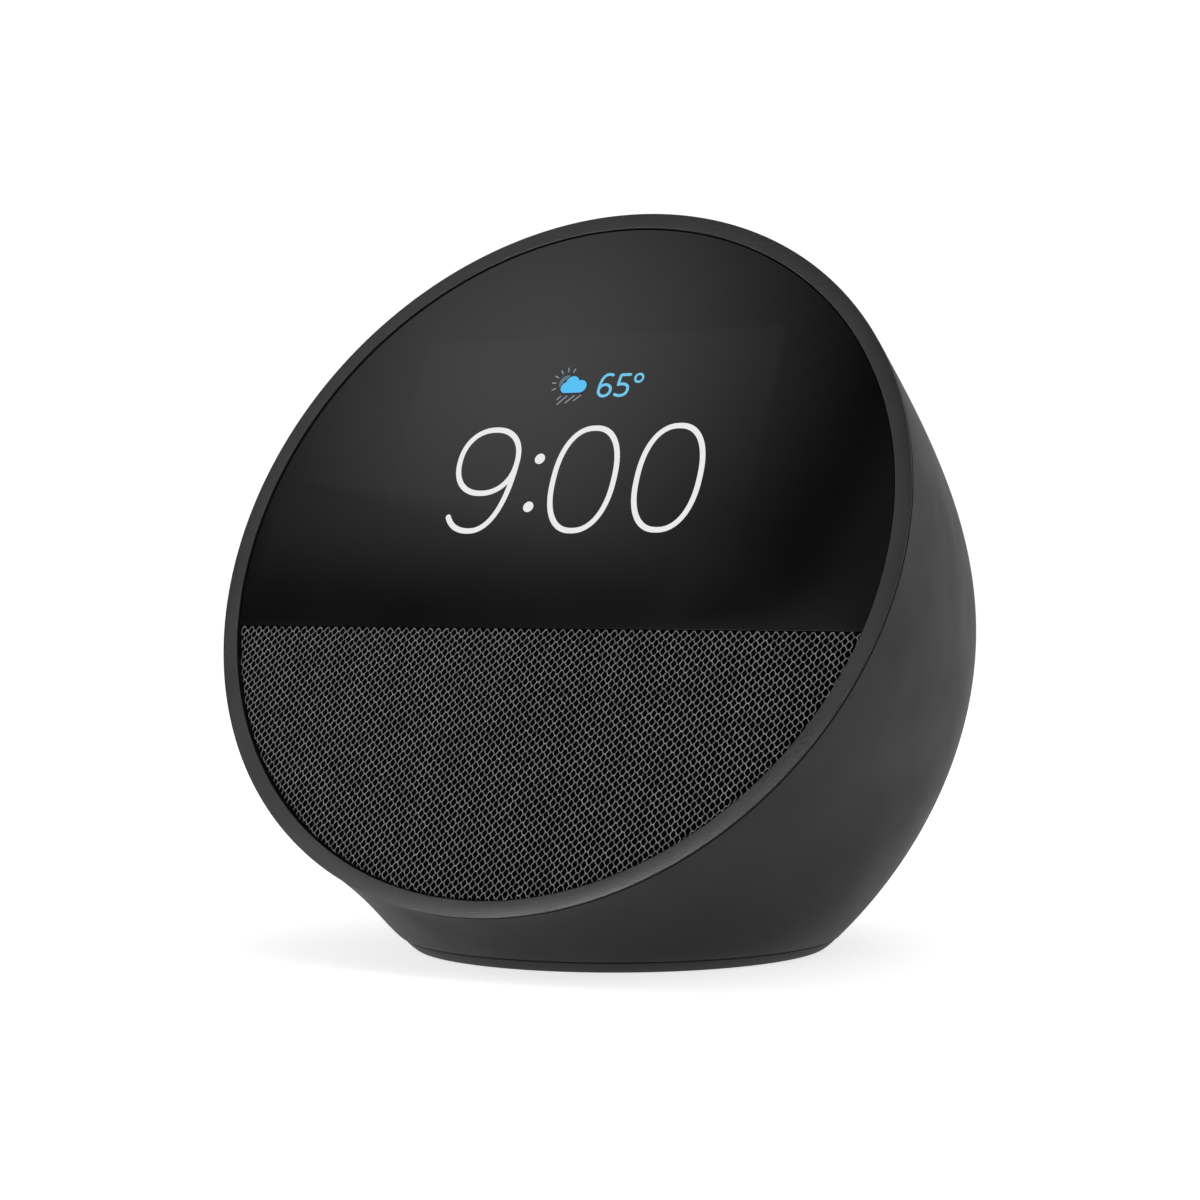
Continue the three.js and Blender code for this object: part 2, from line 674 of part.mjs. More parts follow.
// A pressed lid, open towards the board
function shieldLid(width, height, depth, x, y) {
  const low = CHIP_FRONT - depth;
  const lid = block(width, height, low, CHIP_FRONT, x, y);
  return cut(lid, block(width - 0.8, height - 0.8, low + 0.5, CHIP_FRONT + 1, x, y));
}
add(face, 'processor_shield', shieldLid(26, 24, 2.4, HEAT_SINK_X, HEAT_SINK_Y), STEEL);
add(face, 'radio_shield', shieldLid(15, 14, 2.2, 18, 26), STEEL);
add(face, 'processor', block(12, 12, -16, CHIP_FRONT, -13, HEAT_SINK_Y), CHIP_BLACK);
add(face, 'memory_chip', block(8, 10, -15.8, CHIP_FRONT, -1.5, HEAT_SINK_Y), CHIP_BLACK);
add(face, 'amplifier_chip', block(6, 6, -15.8, CHIP_FRONT, 12, 8), CHIP_BLACK);
add(face, 'speaker_connector', block(6, 4, -17.4, CHIP_FRONT, 0, 4.4), LIGHT_WHITE);

function heatSpreader() {
  const plate = block(30, HEAT_SINK_DEPTH, -18.9, -17.5, HEAT_SINK_X, HEAT_SINK_Y);
  const fins = FIN_SPOTS.map((x) => (
    block(1.2, HEAT_SINK_DEPTH, -25, -18.2, x + HEAT_SINK_X, HEAT_SINK_Y)
  ));
  return join(plate, ...fins);
}
add(face, 'heat_spreader', heatSpreader(), ALUMINIUM);

// -------------------------------------------------------------------- buttons

function acrossTop(low, high, width, outerWidth) {
  const middle = topFrames[2].matrix.clone().invert();
  const plates = topFrames.map(({ matrix, step }) => {
    const outer = Math.abs(step) === 2;
    const size = outer ? outerWidth : width;
    const shift = outer ? (-Math.sign(step) * (width - outerWidth)) / 2 : 0;
    const plate = block(size, CARRIER_DEPTH, low, high, shift, 0);
    return plate.applyMatrix4(middle.clone().multiply(matrix));
  });
  return join(...plates);
}

function stakeHoles(radius) {
  const middle = topFrames[2].matrix.clone().invert();
  return topFrames.filter(({ step }) => Math.abs(step) === 2).map(({ matrix, step }) => {
    const hole = bar(radius, -14, -6, 12).translate(Math.sign(step) * STAKE_X, 0, 0);
    return hole.applyMatrix4(middle.clone().multiply(matrix));
  });
}

const topMiddle = topFrames[2].frame;
const carrierBand = acrossTop(-10, -8.5, CARRIER_WIDTH - 2.4, CARRIER_WIDTH - 0.4);
add(topMiddle, 'button_carrier', cut(carrierBand, ...stakeHoles(1.8)), INNER_PLASTIC);
add(topMiddle, 'button_flex', acrossTop(-7.7, -7.5, CARRIER_WIDTH - 2.2, 7), FLEX_AMBER);

const BUTTON_NAMES = { '-1': 'volume_down', 0: 'microphone', 1: 'volume_up' };
const buttonProfile = [
  [0, -3.5], [5.9, -3.5], [5.9, -2.8], [BUTTON_RADIUS, -2.8], [BUTTON_RADIUS, 0.15],
  [BUTTON_RADIUS - 0.5, 0.45], [2.4, 0.6], [0, 0.65],
];
for (const { frame, step } of topFrames) {
  if (Math.abs(step) < 2) {
    const name = BUTTON_NAMES[step];
    add(frame, `${name}_button`, turned(buttonProfile, 24, false), SHELL_PLASTIC);
    add(frame, `${name}_plunger`, bar(1, -6.1, -3.8, 12), LIGHT_WHITE);
    const body = cut(block(4.6, 4.6, -7.2, -5.2), bar(1.35, -6.9, -4, 12));
    add(frame, `${name}_switch`, body, STEEL);
  } else {
    const name = step < 0 ? 'microphone_left' : 'microphone_right';
    const can = block(3.4, 2.6, -7.2, -6.1, -Math.sign(step) * MICROPHONE_X, 0);
    add(frame, name, can, STEEL);
  }
}

// ---------------------------------------------------------------------- power

function socketBody() {
  const nose = bar(SOCKET_NOSE_RADIUS, -9, 0, 28);
  const housing = block(9, 10, -19, -7, 0, 0);
  const bore = bar(SOCKET_BORE_RADIUS, -12.5, 1, 20);
  return cut(join(nose, housing), bore);
}
add(socket, 'power_socket', socketBody(), CHIP_BLACK);
add(socket, 'power_pin', turned([
  [0, -12.1], [0.7, -12.1], [0.7, -1.6], [0.4, -1.2], [0, -1.2],
], 12, false), STEEL);
add(socket, 'power_board', block(16, 1.2, -24, -8, 0, 6), BOARD_GREEN);

add(speaker, 'power_cable', cable(POWER_CABLE, 1, 16), CABLE_BLACK);

// ----------------------------------------------------------------------- base

function footPad() {
  const outline = ellipse(BASE_RADIUS_X - FOOT_INSET, BASE_RADIUS_Y - FOOT_INSET);
  const pad = slab(outline, 0, FOOT_HEIGHT, 30);
  return cut(pad, slab(ellipse(19, 20), -1, 0.4, 20));
}
add(base, 'foot_pad', footPad(), RUBBER);

const plateOutline = ellipse(BASE_RADIUS_X - WALL - 0.4, BASE_RADIUS_Y - WALL - 0.4);
add(base, 'base_plate', slab(plateOutline, 1.9, 3.9, 30), INNER_PLASTIC);

function ballast() {
  const plate = slab(ellipse(25, 26), SHELF_Z, 7.4, 24);
  const keepBehind = block(80, 80, 0, 20, 0, 40 - 9.5);
  return common(plate, keepBehind);
}
add(base, 'ballast_plate', ballast(), STEEL);

export default speaker;
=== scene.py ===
"""The looks of a small bedside smart speaker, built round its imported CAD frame.

Lengths at the top are millimetres; meshes are scaled to metres when they are made. The face plane's own
axes are x to the right, y up the face and z out of it, with the origin in the middle of the round face.
"""

import math
import random

import bmesh
import bpy
import numpy as np
from mathutils import Matrix, Vector
from mathutils.bvhtree import BVHTree

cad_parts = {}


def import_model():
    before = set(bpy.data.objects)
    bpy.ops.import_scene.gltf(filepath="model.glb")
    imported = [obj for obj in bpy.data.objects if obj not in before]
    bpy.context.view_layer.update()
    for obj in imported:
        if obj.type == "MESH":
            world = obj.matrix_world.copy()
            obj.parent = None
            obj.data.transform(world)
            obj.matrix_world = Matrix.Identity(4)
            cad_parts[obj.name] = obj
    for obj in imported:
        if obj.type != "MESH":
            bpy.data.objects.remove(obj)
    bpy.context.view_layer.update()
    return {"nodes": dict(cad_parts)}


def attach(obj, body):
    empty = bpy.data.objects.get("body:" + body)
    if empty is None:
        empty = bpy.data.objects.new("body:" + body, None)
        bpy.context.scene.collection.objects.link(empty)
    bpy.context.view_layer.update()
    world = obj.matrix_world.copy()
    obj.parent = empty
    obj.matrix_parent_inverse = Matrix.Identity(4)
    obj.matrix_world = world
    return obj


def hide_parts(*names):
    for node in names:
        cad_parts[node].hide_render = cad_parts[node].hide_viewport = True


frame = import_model()
nodes = frame["nodes"]

MM = 0.001
HOUSING = "housing"

# ------------------------------------------------------------------ dimensions

FACE_TILT = math.radians(25)
FACE_CENTRE = Vector((0, -27.67, 60))
RING_RADIUS = 56.5
RING_STEP_RADIUS = 54.9
RING_LIP = 0.2
RING_DEPTH = 3.6
OPENING_RADIUS = 54
FACE_PIECE_RADIUS = 53.8
DIVIDER_Y = -12.55
GAP = 0.12
GLASS_FRONT = -0.28
GLASS_BACK = -1.3
GLASS_EASE = 0.015
CLOTH_BACK = -1.0
CLOTH_THICKNESS = 0.16

SHELL_SETBACK = 0.65
SHELL_EDGE_RADIUS = 56.45
WALL = 1.95
REBATE_RADIUS = 55.2
REBATE_DEPTH = 3.9
BASE_CENTRE_Y = -6.47
BASE_RADIUS_X = 33
BASE_RADIUS_Y = 34.2
BASE_EDGE_Z = 1.8
RING_LEAN = (0, math.radians(7))
RING_PULL = (2.6, 58.6)
RING_PULL_SIDE = 3.5
BASE_PULL = (2, 78.8)
BASE_PULL_SIDE = -19.2
BASE_RISE = (math.radians(28), math.radians(53.3))

LCD_HALF_WIDTH = 31
LCD_HALF_HEIGHT = 22.6
LCD_Y = 13.1

BUTTON_TRAVEL = 0.17
BUTTON_SPREAD = math.radians(17)
BUTTON_RADIUS = 4.5
BUTTON_HOLE_RADIUS = 4.9
HOLE_EASE = 0.25
PORT_RADIUS = 0.6
PORT_EASE = 0.12
MICROPHONE_X = 4.5

SOCKET_Y = 32
SOCKET_Z = 14
SOCKET_HOLE_RADIUS = 4
SOCKET_NOSE_RADIUS = 3.7
SOCKET_NOSE_LENGTH = 12.5
SOCKET_BORE_RADIUS = 2.1
SOCKET_BODY_BACK = -19
SOCKET_BODY_HALF_WIDTH = 4.5
SOCKET_BODY_HALF_HEIGHT = 5
SOCKET_BODY_EASE = 0.4

FOOT_RADIUS_X = 32.6
FOOT_RADIUS_Y = 33.8
FOOT_HEIGHT = 1.68

FACE_UP = Vector((0, math.sin(FACE_TILT), math.cos(FACE_TILT)))
FACE_OUT = Vector((0, -math.cos(FACE_TILT), math.sin(FACE_TILT)))
FACE_PLACE = Matrix.Translation(FACE_CENTRE * MM) @ Matrix.Rotation(math.pi / 2 - FACE_TILT, 4, "X")

# -------------------------------------------------------------------- materials


class Nodes:
    """A material's node tree, with short ways to add nodes and join them."""

    def __init__(self, name):
        self.material = bpy.data.materials.new(name)
        self.material.use_nodes = True
        self.tree = self.material.node_tree
        self.shader = self.tree.nodes["Principled BSDF"]
        self.place = self.add("ShaderNodeTexCoord").outputs["Object"]

    def add(self, kind, **values):
        node = self.tree.nodes.new(kind)
        for key, value in values.items():
            setattr(node, key, value)
        return node

    def link(self, source, socket):
        self.tree.links.new(source, socket)

    def set(self, **values):
        for key, value in values.items():
            self.shader.inputs[key.replace("_", " ")].default_value = value

    def noise(self, scale, detail=2.0):
        node = self.add("ShaderNodeTexNoise")
        node.inputs["Scale"].default_value = scale
        node.inputs["Detail"].default_value = detail
        self.link(self.place, node.inputs["Vector"])
        return node.outputs["Fac"]

    def spread(self, source, low, high, from_low=0.3, from_high=0.7):
        """source, from from_low to from_high, mapped to low to high."""
        node = self.add("ShaderNodeMapRange")
        node.inputs["From Min"].default_value = from_low
        node.inputs["From Max"].default_value = from_high
        node.inputs["To Min"].default_value = low
        node.inputs["To Max"].default_value = high
        self.link(source, node.inputs["Value"])
        return node.outputs["Result"]

    def math(self, operation, first, second=0.0):
        node = self.add("ShaderNodeMath", operation=operation)
        for socket, value in zip(node.inputs, (first, second)):
            if isinstance(value, (int, float)):
                socket.default_value = value
            else:
                self.link(value, socket)
        return node.outputs[0]

    def mix(self, share, first, second):
        """The colour between first and second; each is a colour or a socket."""
        node = self.add("ShaderNodeMix", data_type="RGBA")
        self.link(share, node.inputs["Factor"])
        for socket, value in ((node.inputs[6], first), (node.inputs[7], second)):
            if isinstance(value, tuple):
                socket.default_value = (*value, 1)
            else:
                self.link(value, socket)
        return node.outputs[2]

    def bump(self, height, distance, strength=1.0):
        node = self.add("ShaderNodeBump")
        node.inputs["Strength"].default_value = strength
        node.inputs["Distance"].default_value = distance
        self.link(height, node.inputs["Height"])
        self.link(node.outputs["Normal"], self.shader.inputs["Normal"])


def shade(colour, factor):
    return tuple(min(channel * factor, 1.0) for channel in colour)


def moulded(name, colour, roughness, grain=5200, depth=0.012, variation=0.1, specular=0.5):
    """Moulded plastic or rubber: spark-eroded grain, faint clouds of tone and gloss."""
    made = Nodes(name)
    fine = made.noise(grain, 3.0)
    broad = made.noise(90, 2.0)
    tone = made.math("ADD", made.math("MULTIPLY", fine, 0.7), made.math("MULTIPLY", broad, 0.3))
    share = made.spread(tone, 0, 1)
    colours = made.mix(share, shade(colour, 1 - variation), shade(colour, 1 + variation))
    made.link(colours, made.shader.inputs["Base Color"])
    made.link(made.spread(broad, roughness - 0.04, roughness + 0.04), made.shader.inputs["Roughness"])
    made.bump(fine, depth * MM, 0.6)
    made.set(Specular_IOR_Level=specular)
    return made.material


def metal(name, colour, roughness, brushed=400):
    """Bare metal with a fine rolled grain."""
    made = Nodes(name)
    stretch = made.add("ShaderNodeMapping")
    stretch.inputs["Scale"].default_value = (1, 12, 1)
    made.link(made.place, stretch.inputs["Vector"])
    grain = made.add("ShaderNodeTexNoise")
    grain.inputs["Scale"].default_value = brushed
    grain.inputs["Detail"].default_value = 4
    made.link(stretch.outputs["Vector"], grain.inputs["Vector"])
    streak = grain.outputs["Fac"]
    colours = made.mix(made.spread(streak, 0, 1), shade(colour, 0.85), shade(colour, 1.1))
    made.link(colours, made.shader.inputs["Base Color"])
    made.link(made.spread(streak, roughness - 0.08, roughness + 0.08), made.shader.inputs["Roughness"])
    made.bump(streak, 0.004 * MM, 0.4)
    made.set(Metallic=1.0)
    return made.material


def circuit_board(name):
    """Green solder mask over straight copper tracks."""
    made = Nodes(name)
    tracks = made.add("ShaderNodeTexBrick", offset=0.37, squash=1.4)
    tracks.inputs["Scale"].default_value = 420
    tracks.inputs["Mortar Size"].default_value = 0.06
    tracks.inputs["Color1"].default_value = (0.008, 0.06, 0.03, 1)
    tracks.inputs["Color2"].default_value = (0.01, 0.08, 0.04, 1)
    tracks.inputs["Mortar"].default_value = (0.03, 0.16, 0.07, 1)
    made.link(made.place, tracks.inputs["Vector"])
    made.link(tracks.outputs["Color"], made.shader.inputs["Base Color"])
    made.bump(tracks.outputs["Fac"], 0.02 * MM, 0.5)
    made.set(Roughness=0.35)
    return made.material


def black_glass(name):
    """Dark cover glass. The screen behind it is painted glow: a slightly lighter rectangle in the base
    colour, painted clearest at its top.
    """
    made = Nodes(name)
    split = made.add("ShaderNodeSeparateXYZ")
    made.link(made.place, split.inputs["Vector"])
    side = made.math("ABSOLUTE", split.outputs["X"])
    height = made.math("ABSOLUTE", made.math("SUBTRACT", split.outputs["Y"], LCD_Y * MM))
    edge = 0.25 * MM
    inside_x = made.spread(side, 1, 0, LCD_HALF_WIDTH * MM - edge, LCD_HALF_WIDTH * MM + edge)
    inside_y = made.spread(height, 1, 0, LCD_HALF_HEIGHT * MM - edge, LCD_HALF_HEIGHT * MM + edge)
    # Painted glow: this fade makes the screen rectangle's lighter base colour strongest at its top and faint
    # lower down.
    fade = made.spread(split.outputs["Y"], 0.1, 1, 6 * MM, 30 * MM)
    inside = made.math("MULTIPLY", made.math("MULTIPLY", inside_x, inside_y), fade)
    smear = made.noise(60, 3.0)
    # Painted glow of the screen: the colour inside the rectangle, lighter than the glass round it.
    screen = made.mix(made.spread(smear, 0, 1), (0.0048, 0.0049, 0.0052), (0.0054, 0.0055, 0.0058))
    made.link(made.mix(inside, (0.0016, 0.0016, 0.0017), screen), made.shader.inputs["Base Color"])
    made.link(made.spread(smear, 0.10, 0.13), made.shader.inputs["Roughness"])
    made.set(IOR=1.3)
    return made.material


def glowing(name, colour, strength, body=(0.0, 0.0, 0.0)):
    """A lit part of the screen, with the faint grid of its dots."""
    made = Nodes(name)
    dots = made.add("ShaderNodeTexBrick", offset=0.0)
    dots.inputs["Scale"].default_value = 1 / (0.13 * MM)
    dots.inputs["Brick Width"].default_value = 1
    dots.inputs["Row Height"].default_value = 1
    dots.inputs["Mortar Size"].default_value = 0.12
    dots.inputs["Color1"].default_value = (*colour, 1)
    dots.inputs["Color2"].default_value = (*colour, 1)
    dots.inputs["Mortar"].default_value = (*shade(colour, 0.8), 1)
    made.link(made.place, dots.inputs["Vector"])
    made.link(dots.outputs["Color"], made.shader.inputs["Emission Color"])
    made.set(Emission_Strength=strength, Base_Color=(*body, 1), Roughness=0.4, Specular_IOR_Level=0.2)
    return made.material


def yarn(name, colour):
    """Knitted polyester thread: paler and darker lengths, partly the yarn's own uneven tone and partly
    painted glints, and fine fibres.
    """
    made = Nodes(name)
    # Painted glints: the paler lengths stand partly for light caught on the thread and partly for the yarn's
    # own uneven tone.
    tone_and_painted_glints = made.noise(3200, 2.0)
    fibre = made.noise(16000, 2.0)
    share = made.spread(tone_and_painted_glints, 0, 1, 0.36, 0.68)
    colours = made.mix(share, shade(colour, 0.5), shade(colour, 2.0))
    made.link(colours, made.shader.inputs["Base Color"])
    made.link(made.spread(fibre, 0.55, 0.8), made.shader.inputs["Roughness"])
    made.bump(fibre, 0.01 * MM, 0.8)
    made.set(Sheen_Weight=0.15, Sheen_Roughness=0.4, Specular_IOR_Level=0.35)
    return made.material


def woven(name, colour):
    """Close black cloth: a plain weave of fine threads."""
    made = Nodes(name)
    turned = made.add("ShaderNodeMapping")
    turned.inputs["Rotation"].default_value = (0, 0, math.radians(45))
    made.link(made.place, turned.inputs["Vector"])
    weave = made.add("ShaderNodeTexChecker")
    weave.inputs["Scale"].default_value = 1 / (0.2 * MM)
    weave.inputs["Color1"].default_value = (*shade(colour, 0.5), 1)
    weave.inputs["Color2"].default_value = (*shade(colour, 1.5), 1)
    made.link(turned.outputs["Vector"], weave.inputs["Vector"])
    made.link(weave.outputs["Color"], made.shader.inputs["Base Color"])
    made.bump(weave.outputs["Fac"], 0.03 * MM, 0.6)
    made.set(Roughness=0.9, Specular_IOR_Level=0.0)
    return made.material


SHELL_COLOUR = (0.0115, 0.0115, 0.0118)
RING_COLOUR = (0.0065, 0.0065, 0.0067)

shell_plastic = moulded("shell_plastic", SHELL_COLOUR, 0.55, specular=0.14)
ring_plastic = moulded("ring_plastic", RING_COLOUR, 0.36, grain=3000, depth=0.035, variation=0.3,
                       specular=0.28)
button_plastic = moulded("button_plastic", shade(SHELL_COLOUR, 0.9), 0.5)
mark_paint = moulded("mark_paint", (0.25, 0.25, 0.255), 0.6, grain=9000)
foot_rubber = moulded("foot_rubber", (0.016, 0.016, 0.0163), 0.7, grain=2500, depth=0.02, specular=0.3)
inner_plastic = moulded("inner_plastic", (0.012, 0.012, 0.013), 0.55)
white_plastic = moulded("white_plastic", (0.6, 0.61, 0.62), 0.45)
foam = moulded("foam", (0.03, 0.03, 0.031), 0.95, grain=1500, depth=0.1, specular=0.1)
cone_paper = moulded("cone_paper", (0.02, 0.02, 0.021), 0.85, grain=1800, depth=0.04)
soft_rubber = moulded("soft_rubber", (0.012, 0.012, 0.012), 0.6, grain=3000)
chip_black = moulded("chip_black", (0.012, 0.012, 0.013), 0.5, grain=8000)
cable_skin = moulded("cable_skin", (0.012, 0.012, 0.012), 0.5, grain=3000)
lcd_dark = moulded("lcd_dark", (0.008, 0.009, 0.012), 0.25, grain=9000, depth=0.002)
flex_film = moulded("flex_film", (0.22, 0.09, 0.015), 0.35, grain=1200, depth=0.005)
ferrite = moulded("ferrite", (0.04, 0.04, 0.043), 0.6, grain=2400, depth=0.02)
steel = metal("steel", (0.5, 0.51, 0.52), 0.35)
aluminium = metal("aluminium", (0.62, 0.63, 0.65), 0.4)
copper = metal("copper", (0.72, 0.33, 0.16), 0.35, brushed=900)
board_green = circuit_board("board_green")
glass = black_glass("black_glass")
net_yarn = yarn("net_yarn", (0.165, 0.165, 0.166))
backing_cloth = woven("backing_cloth", (0.002, 0.002, 0.0021))
clock_white = glowing("clock_white", (0.87, 0.87, 0.87), 1.0)
sky_blue = glowing("sky_blue", (0.085, 0.55, 0.95), 1.0)
pale_blue = glowing("pale_blue", (0.16, 0.6, 0.88), 1.0)
sun_grey = glowing("sun_grey", (0.11, 0.17, 0.21), 1.0)
rain_grey = glowing("rain_grey", (0.3, 0.34, 0.37), 1.0)

NODE_FINISHES = {
    inner_plastic: ["front_frame", "grille_plate", "speaker_chamber", "button_carrier", "base_plate"],
    foam: ["glass_adhesive", "speaker_gasket"],
    lcd_dark: ["lcd_panel"],
    white_plastic: ["backlight_unit", "speaker_connector", "volume_down_plunger", "microphone_plunger",
                    "volume_up_plunger"],
    steel: ["display_bracket", "speaker_basket", "top_plate", "pole_yoke", "processor_shield",
            "radio_shield", "ballast_plate", "power_pin", "microphone_left", "microphone_right",
            "volume_down_switch", "microphone_switch", "volume_up_switch",
            *[f"frame_screw_{number}" for number in range(1, 5)]],
    flex_film: ["display_flex", "button_flex"],
    copper: ["antenna_left", "antenna_right", "voice_coil"],
    soft_rubber: ["surround"],
    cone_paper: ["speaker_cone", "dust_cap"],
    backing_cloth: ["spider"],
    ferrite: ["magnet"],
    board_green: ["main_board", "power_board"],
    chip_black: ["processor", "memory_chip", "amplifier_chip"],
    aluminium: ["heat_spreader"],
    cable_skin: ["speaker_cable", "power_cable"],
}
for finish, names in NODE_FINISHES.items():
    for node_name in names:
        slots = nodes[node_name].data.materials
        slots.clear()
        slots.append(finish)

# ----------------------------------------------------------------- mesh helpers


def loft(loops, caps=True, ring=False):
    """Points and faces of a skin over loops of equal length. ring joins the last loop to the first."""
    count = len(loops[0])
    points = [point for loop in loops for point in loop]
    faces = []
    for i in range(len(loops) if ring else len(loops) - 1):
        this, other = i * count, (i + 1) % len(loops) * count
        for j in range(count):
            k = (j + 1) % count
            faces.append((this + j, this + k, other + k, other + j))
    if caps and not ring:
        faces.append(tuple(reversed(range(count))))
        faces.append(tuple(range((len(loops) - 1) * count, len(loops) * count)))
    return points, faces


def merged(parts):
    """Several (points, faces) as one."""
    points, faces = [], []
    for part_points, part_faces in parts:
        start = len(points)
        points.extend(part_points)
        faces.extend(tuple(start + index for index in face) for face in part_faces)
    return points, faces


def make_object(name, part, material, place=None, sharp=35):
    """A smooth-shaded object from (points, faces) in millimetres."""
    points, faces = part
    mesh = bpy.data.meshes.new(name)
    mesh.from_pydata([tuple(value * MM for value in point) for point in points], [], faces)
    editing = bmesh.new()
    editing.from_mesh(mesh)
    bmesh.ops.recalc_face_normals(editing, faces=editing.faces)
    editing.to_mesh(mesh)
    editing.free()
    mesh.materials.append(material)
    mesh.shade_smooth()
    mesh.set_sharp_from_angle(angle=math.radians(sharp))
    made = bpy.data.objects.new(name, mesh)
    bpy.context.scene.collection.objects.link(made)
    if place is not None:
        made.matrix_world = place
    return made


def add_piece(name, part, material, body=HOUSING, place=None, sharp=35, replaces=()):
    piece = make_object(name, part, material, place, sharp)
    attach(piece, body)
    if replaces:
        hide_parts(*replaces)
    return piece


def combine(target, tools, operation):
    """Cuts or joins the tool objects with target for good, and removes them."""
    for tool in tools:
        change = target.modifiers.new("combine", "BOOLEAN")
        change.operation = operation
        change.solver = "EXACT"
        change.object = tool
    evaluated = target.evaluated_get(bpy.context.evaluated_depsgraph_get())
    mesh = bpy.data.meshes.new_from_object(evaluated)
    target.modifiers.clear()
    target.data = mesh
    for tool in tools:
        bpy.data.objects.remove(tool)
    return target


def rounded(corners, radii, steps=5):
    """A closed outline with each corner eased over its radius."""
    outline = []
    for i, corner in enumerate(corners):
        here = Vector(corner)
        before = Vector(corners[i - 1])
        after = Vector(corners[(i + 1) % len(corners)])
        if radii[i] == 0:
            outline.append(tuple(here))
            continue
        start = here + (before - here).normalized() * radii[i]
        end = here + (after - here).normalized() * radii[i]
        for step in range(steps + 1):
            share = step / steps
            point = start * (1 - share) ** 2 + here * (2 * share * (1 - share)) + end * share**2
            outline.append(tuple(point))
    return outline


def circle_loop(radius, height, turns):
    angles = [2 * math.pi * i / turns for i in range(turns)]
    return [(radius * math.cos(angle), radius * math.sin(angle), height) for angle in angles]


def turned(profile, turns, ring=True):
    """A profile of (radius, height) turned about the Z axis, closed on itself when ring is true."""
    return loft([circle_loop(radius, height, turns) for radius, height in profile], ring=ring)


# ------------------------------------------------------------------------ shell

SHELL_TURNS = 256
SHELL_ROWS = 96
INNER_ROWS = 28
INNER_SAMPLES = 200
RIM_RADIUS = 0.1
RIM_STEPS = 6
ROW_CROWDING = 1.3
LOW_PART = 15


def between(pair, share):
    return pair[0] + (pair[1] - pair[0]) * share


def shell_point(turn, travel):
    """The outer surface. turn is 90 degrees at the face's top. travel is 0 at the face and 1 at the base."""
    side, rise = math.cos(turn), math.sin(turn)
    share = (1 + rise) / 2
    radial = Vector((side, 0, 0)) + FACE_UP * rise
    start = FACE_CENTRE + radial * SHELL_EDGE_RADIUS - FACE_OUT * SHELL_SETBACK
    lean = between(RING_LEAN, share)
    start_pull = between(RING_PULL, share) + RING_PULL_SIDE * side * side
    inward = radial * (start_pull * math.sin(lean))
    start_handle = start - FACE_OUT * (start_pull * math.cos(lean)) - inward
    end = Vector((BASE_RADIUS_X * side, BASE_CENTRE_Y + BASE_RADIUS_Y * rise, BASE_EDGE_Z))
    outward = Vector((side * BASE_RADIUS_Y, rise * BASE_RADIUS_X, 0)).normalized()
    end_rise = between(BASE_RISE, share)
    end_pull = between(BASE_PULL, share) + BASE_PULL_SIDE * side * side
    lift = Vector((0, 0, end_pull * math.sin(end_rise)))
    end_handle = end + outward * (end_pull * math.cos(end_rise)) + lift
    back = 1 - travel
    return (start * back**3 + start_handle * (3 * back * back * travel)
            + end_handle * (3 * back * travel * travel) + end * travel**3)


def shell_normal(turn, travel):
    step = 1e-3
    along = shell_point(turn, min(travel + step, 1)) - shell_point(turn, max(travel - step, 0))
    around = shell_point(turn + step, travel) - shell_point(turn - step, travel)
    return along.cross(around).normalized()


def shell_place(turn, travel):
    """A frame on the surface in millimetres: z points out of it and x runs level round it."""
    out = shell_normal(turn, travel)
    back = (Vector((0, 1, 0)) - out * out.y).normalized()
    across = back.cross(out)
    place = Matrix((across, back, out)).transposed().to_4x4()
    place.translation = shell_point(turn, travel)
    return place


def shell_section(turn):
    """What makes up one closed section: the rounded front rim, the outside, the inside and the rebate."""
    radial = Vector((math.cos(turn), 0, 0)) + FACE_UP * math.sin(turn)
    travels = [(row / SHELL_ROWS) ** ROW_CROWDING for row in range(SHELL_ROWS + 1)]
    outside = [shell_point(turn, travel) for travel in travels]
    front = outside[0]
    rim = []
    for step in range(RIM_STEPS):
        angle = math.pi / 2 * step / (RIM_STEPS - 1)
        inward = RIM_RADIUS * (1 - math.sin(angle))
        back = RIM_RADIUS * (1 - math.cos(angle))
        rim.append(front - radial * inward - FACE_OUT * back)
    kept = [point for point in outside
            if (point - front).dot(-FACE_OUT) > RIM_RADIUS * 1.2 or point.z < LOW_PART]
    inner_travels = np.linspace(0, 1, INNER_SAMPLES)
    inner = [shell_point(turn, t) - shell_normal(turn, t) * WALL for t in inner_travels]
    depths = np.array([(point - FACE_CENTRE).dot(-FACE_OUT) for point in inner])
    first = next(index for index, depth in enumerate(depths) if depth > REBATE_DEPTH)
    chosen = np.linspace(first, len(inner) - 1, INNER_ROWS).round().astype(int)
    inside = [inner[index] for index in chosen]
    inside[-1] = Vector((
        (BASE_RADIUS_X - WALL) * math.cos(turn),
        BASE_CENTRE_Y + (BASE_RADIUS_Y - WALL) * math.sin(turn),
        BASE_EDGE_Z,
    ))
    rebate_back = FACE_CENTRE + radial * REBATE_RADIUS - FACE_OUT * REBATE_DEPTH
    rebate_front = FACE_CENTRE + radial * REBATE_RADIUS - FACE_OUT * SHELL_SETBACK
    return rim, kept, inside, rebate_back, rebate_front


def rear_shell():
    sections = []
    for i in range(SHELL_TURNS):
        turn = 2 * math.pi * i / SHELL_TURNS
        rim, outside, inside, rebate_back, rebate_front = shell_section(turn)
        # The rows are spread again over what the rim leaves, so every section has the same number.
        rows = np.linspace(0, len(outside) - 1, SHELL_ROWS - RIM_STEPS)
        spaced = []
        for row in rows:
            low = int(row)
            high = min(low + 1, len(outside) - 1)
            spaced.append(outside[low].lerp(outside[high], row - low))
        sections.append([*rim, *spaced, *reversed(inside), rebate_back, rebate_front])
    return loft(sections, ring=True)


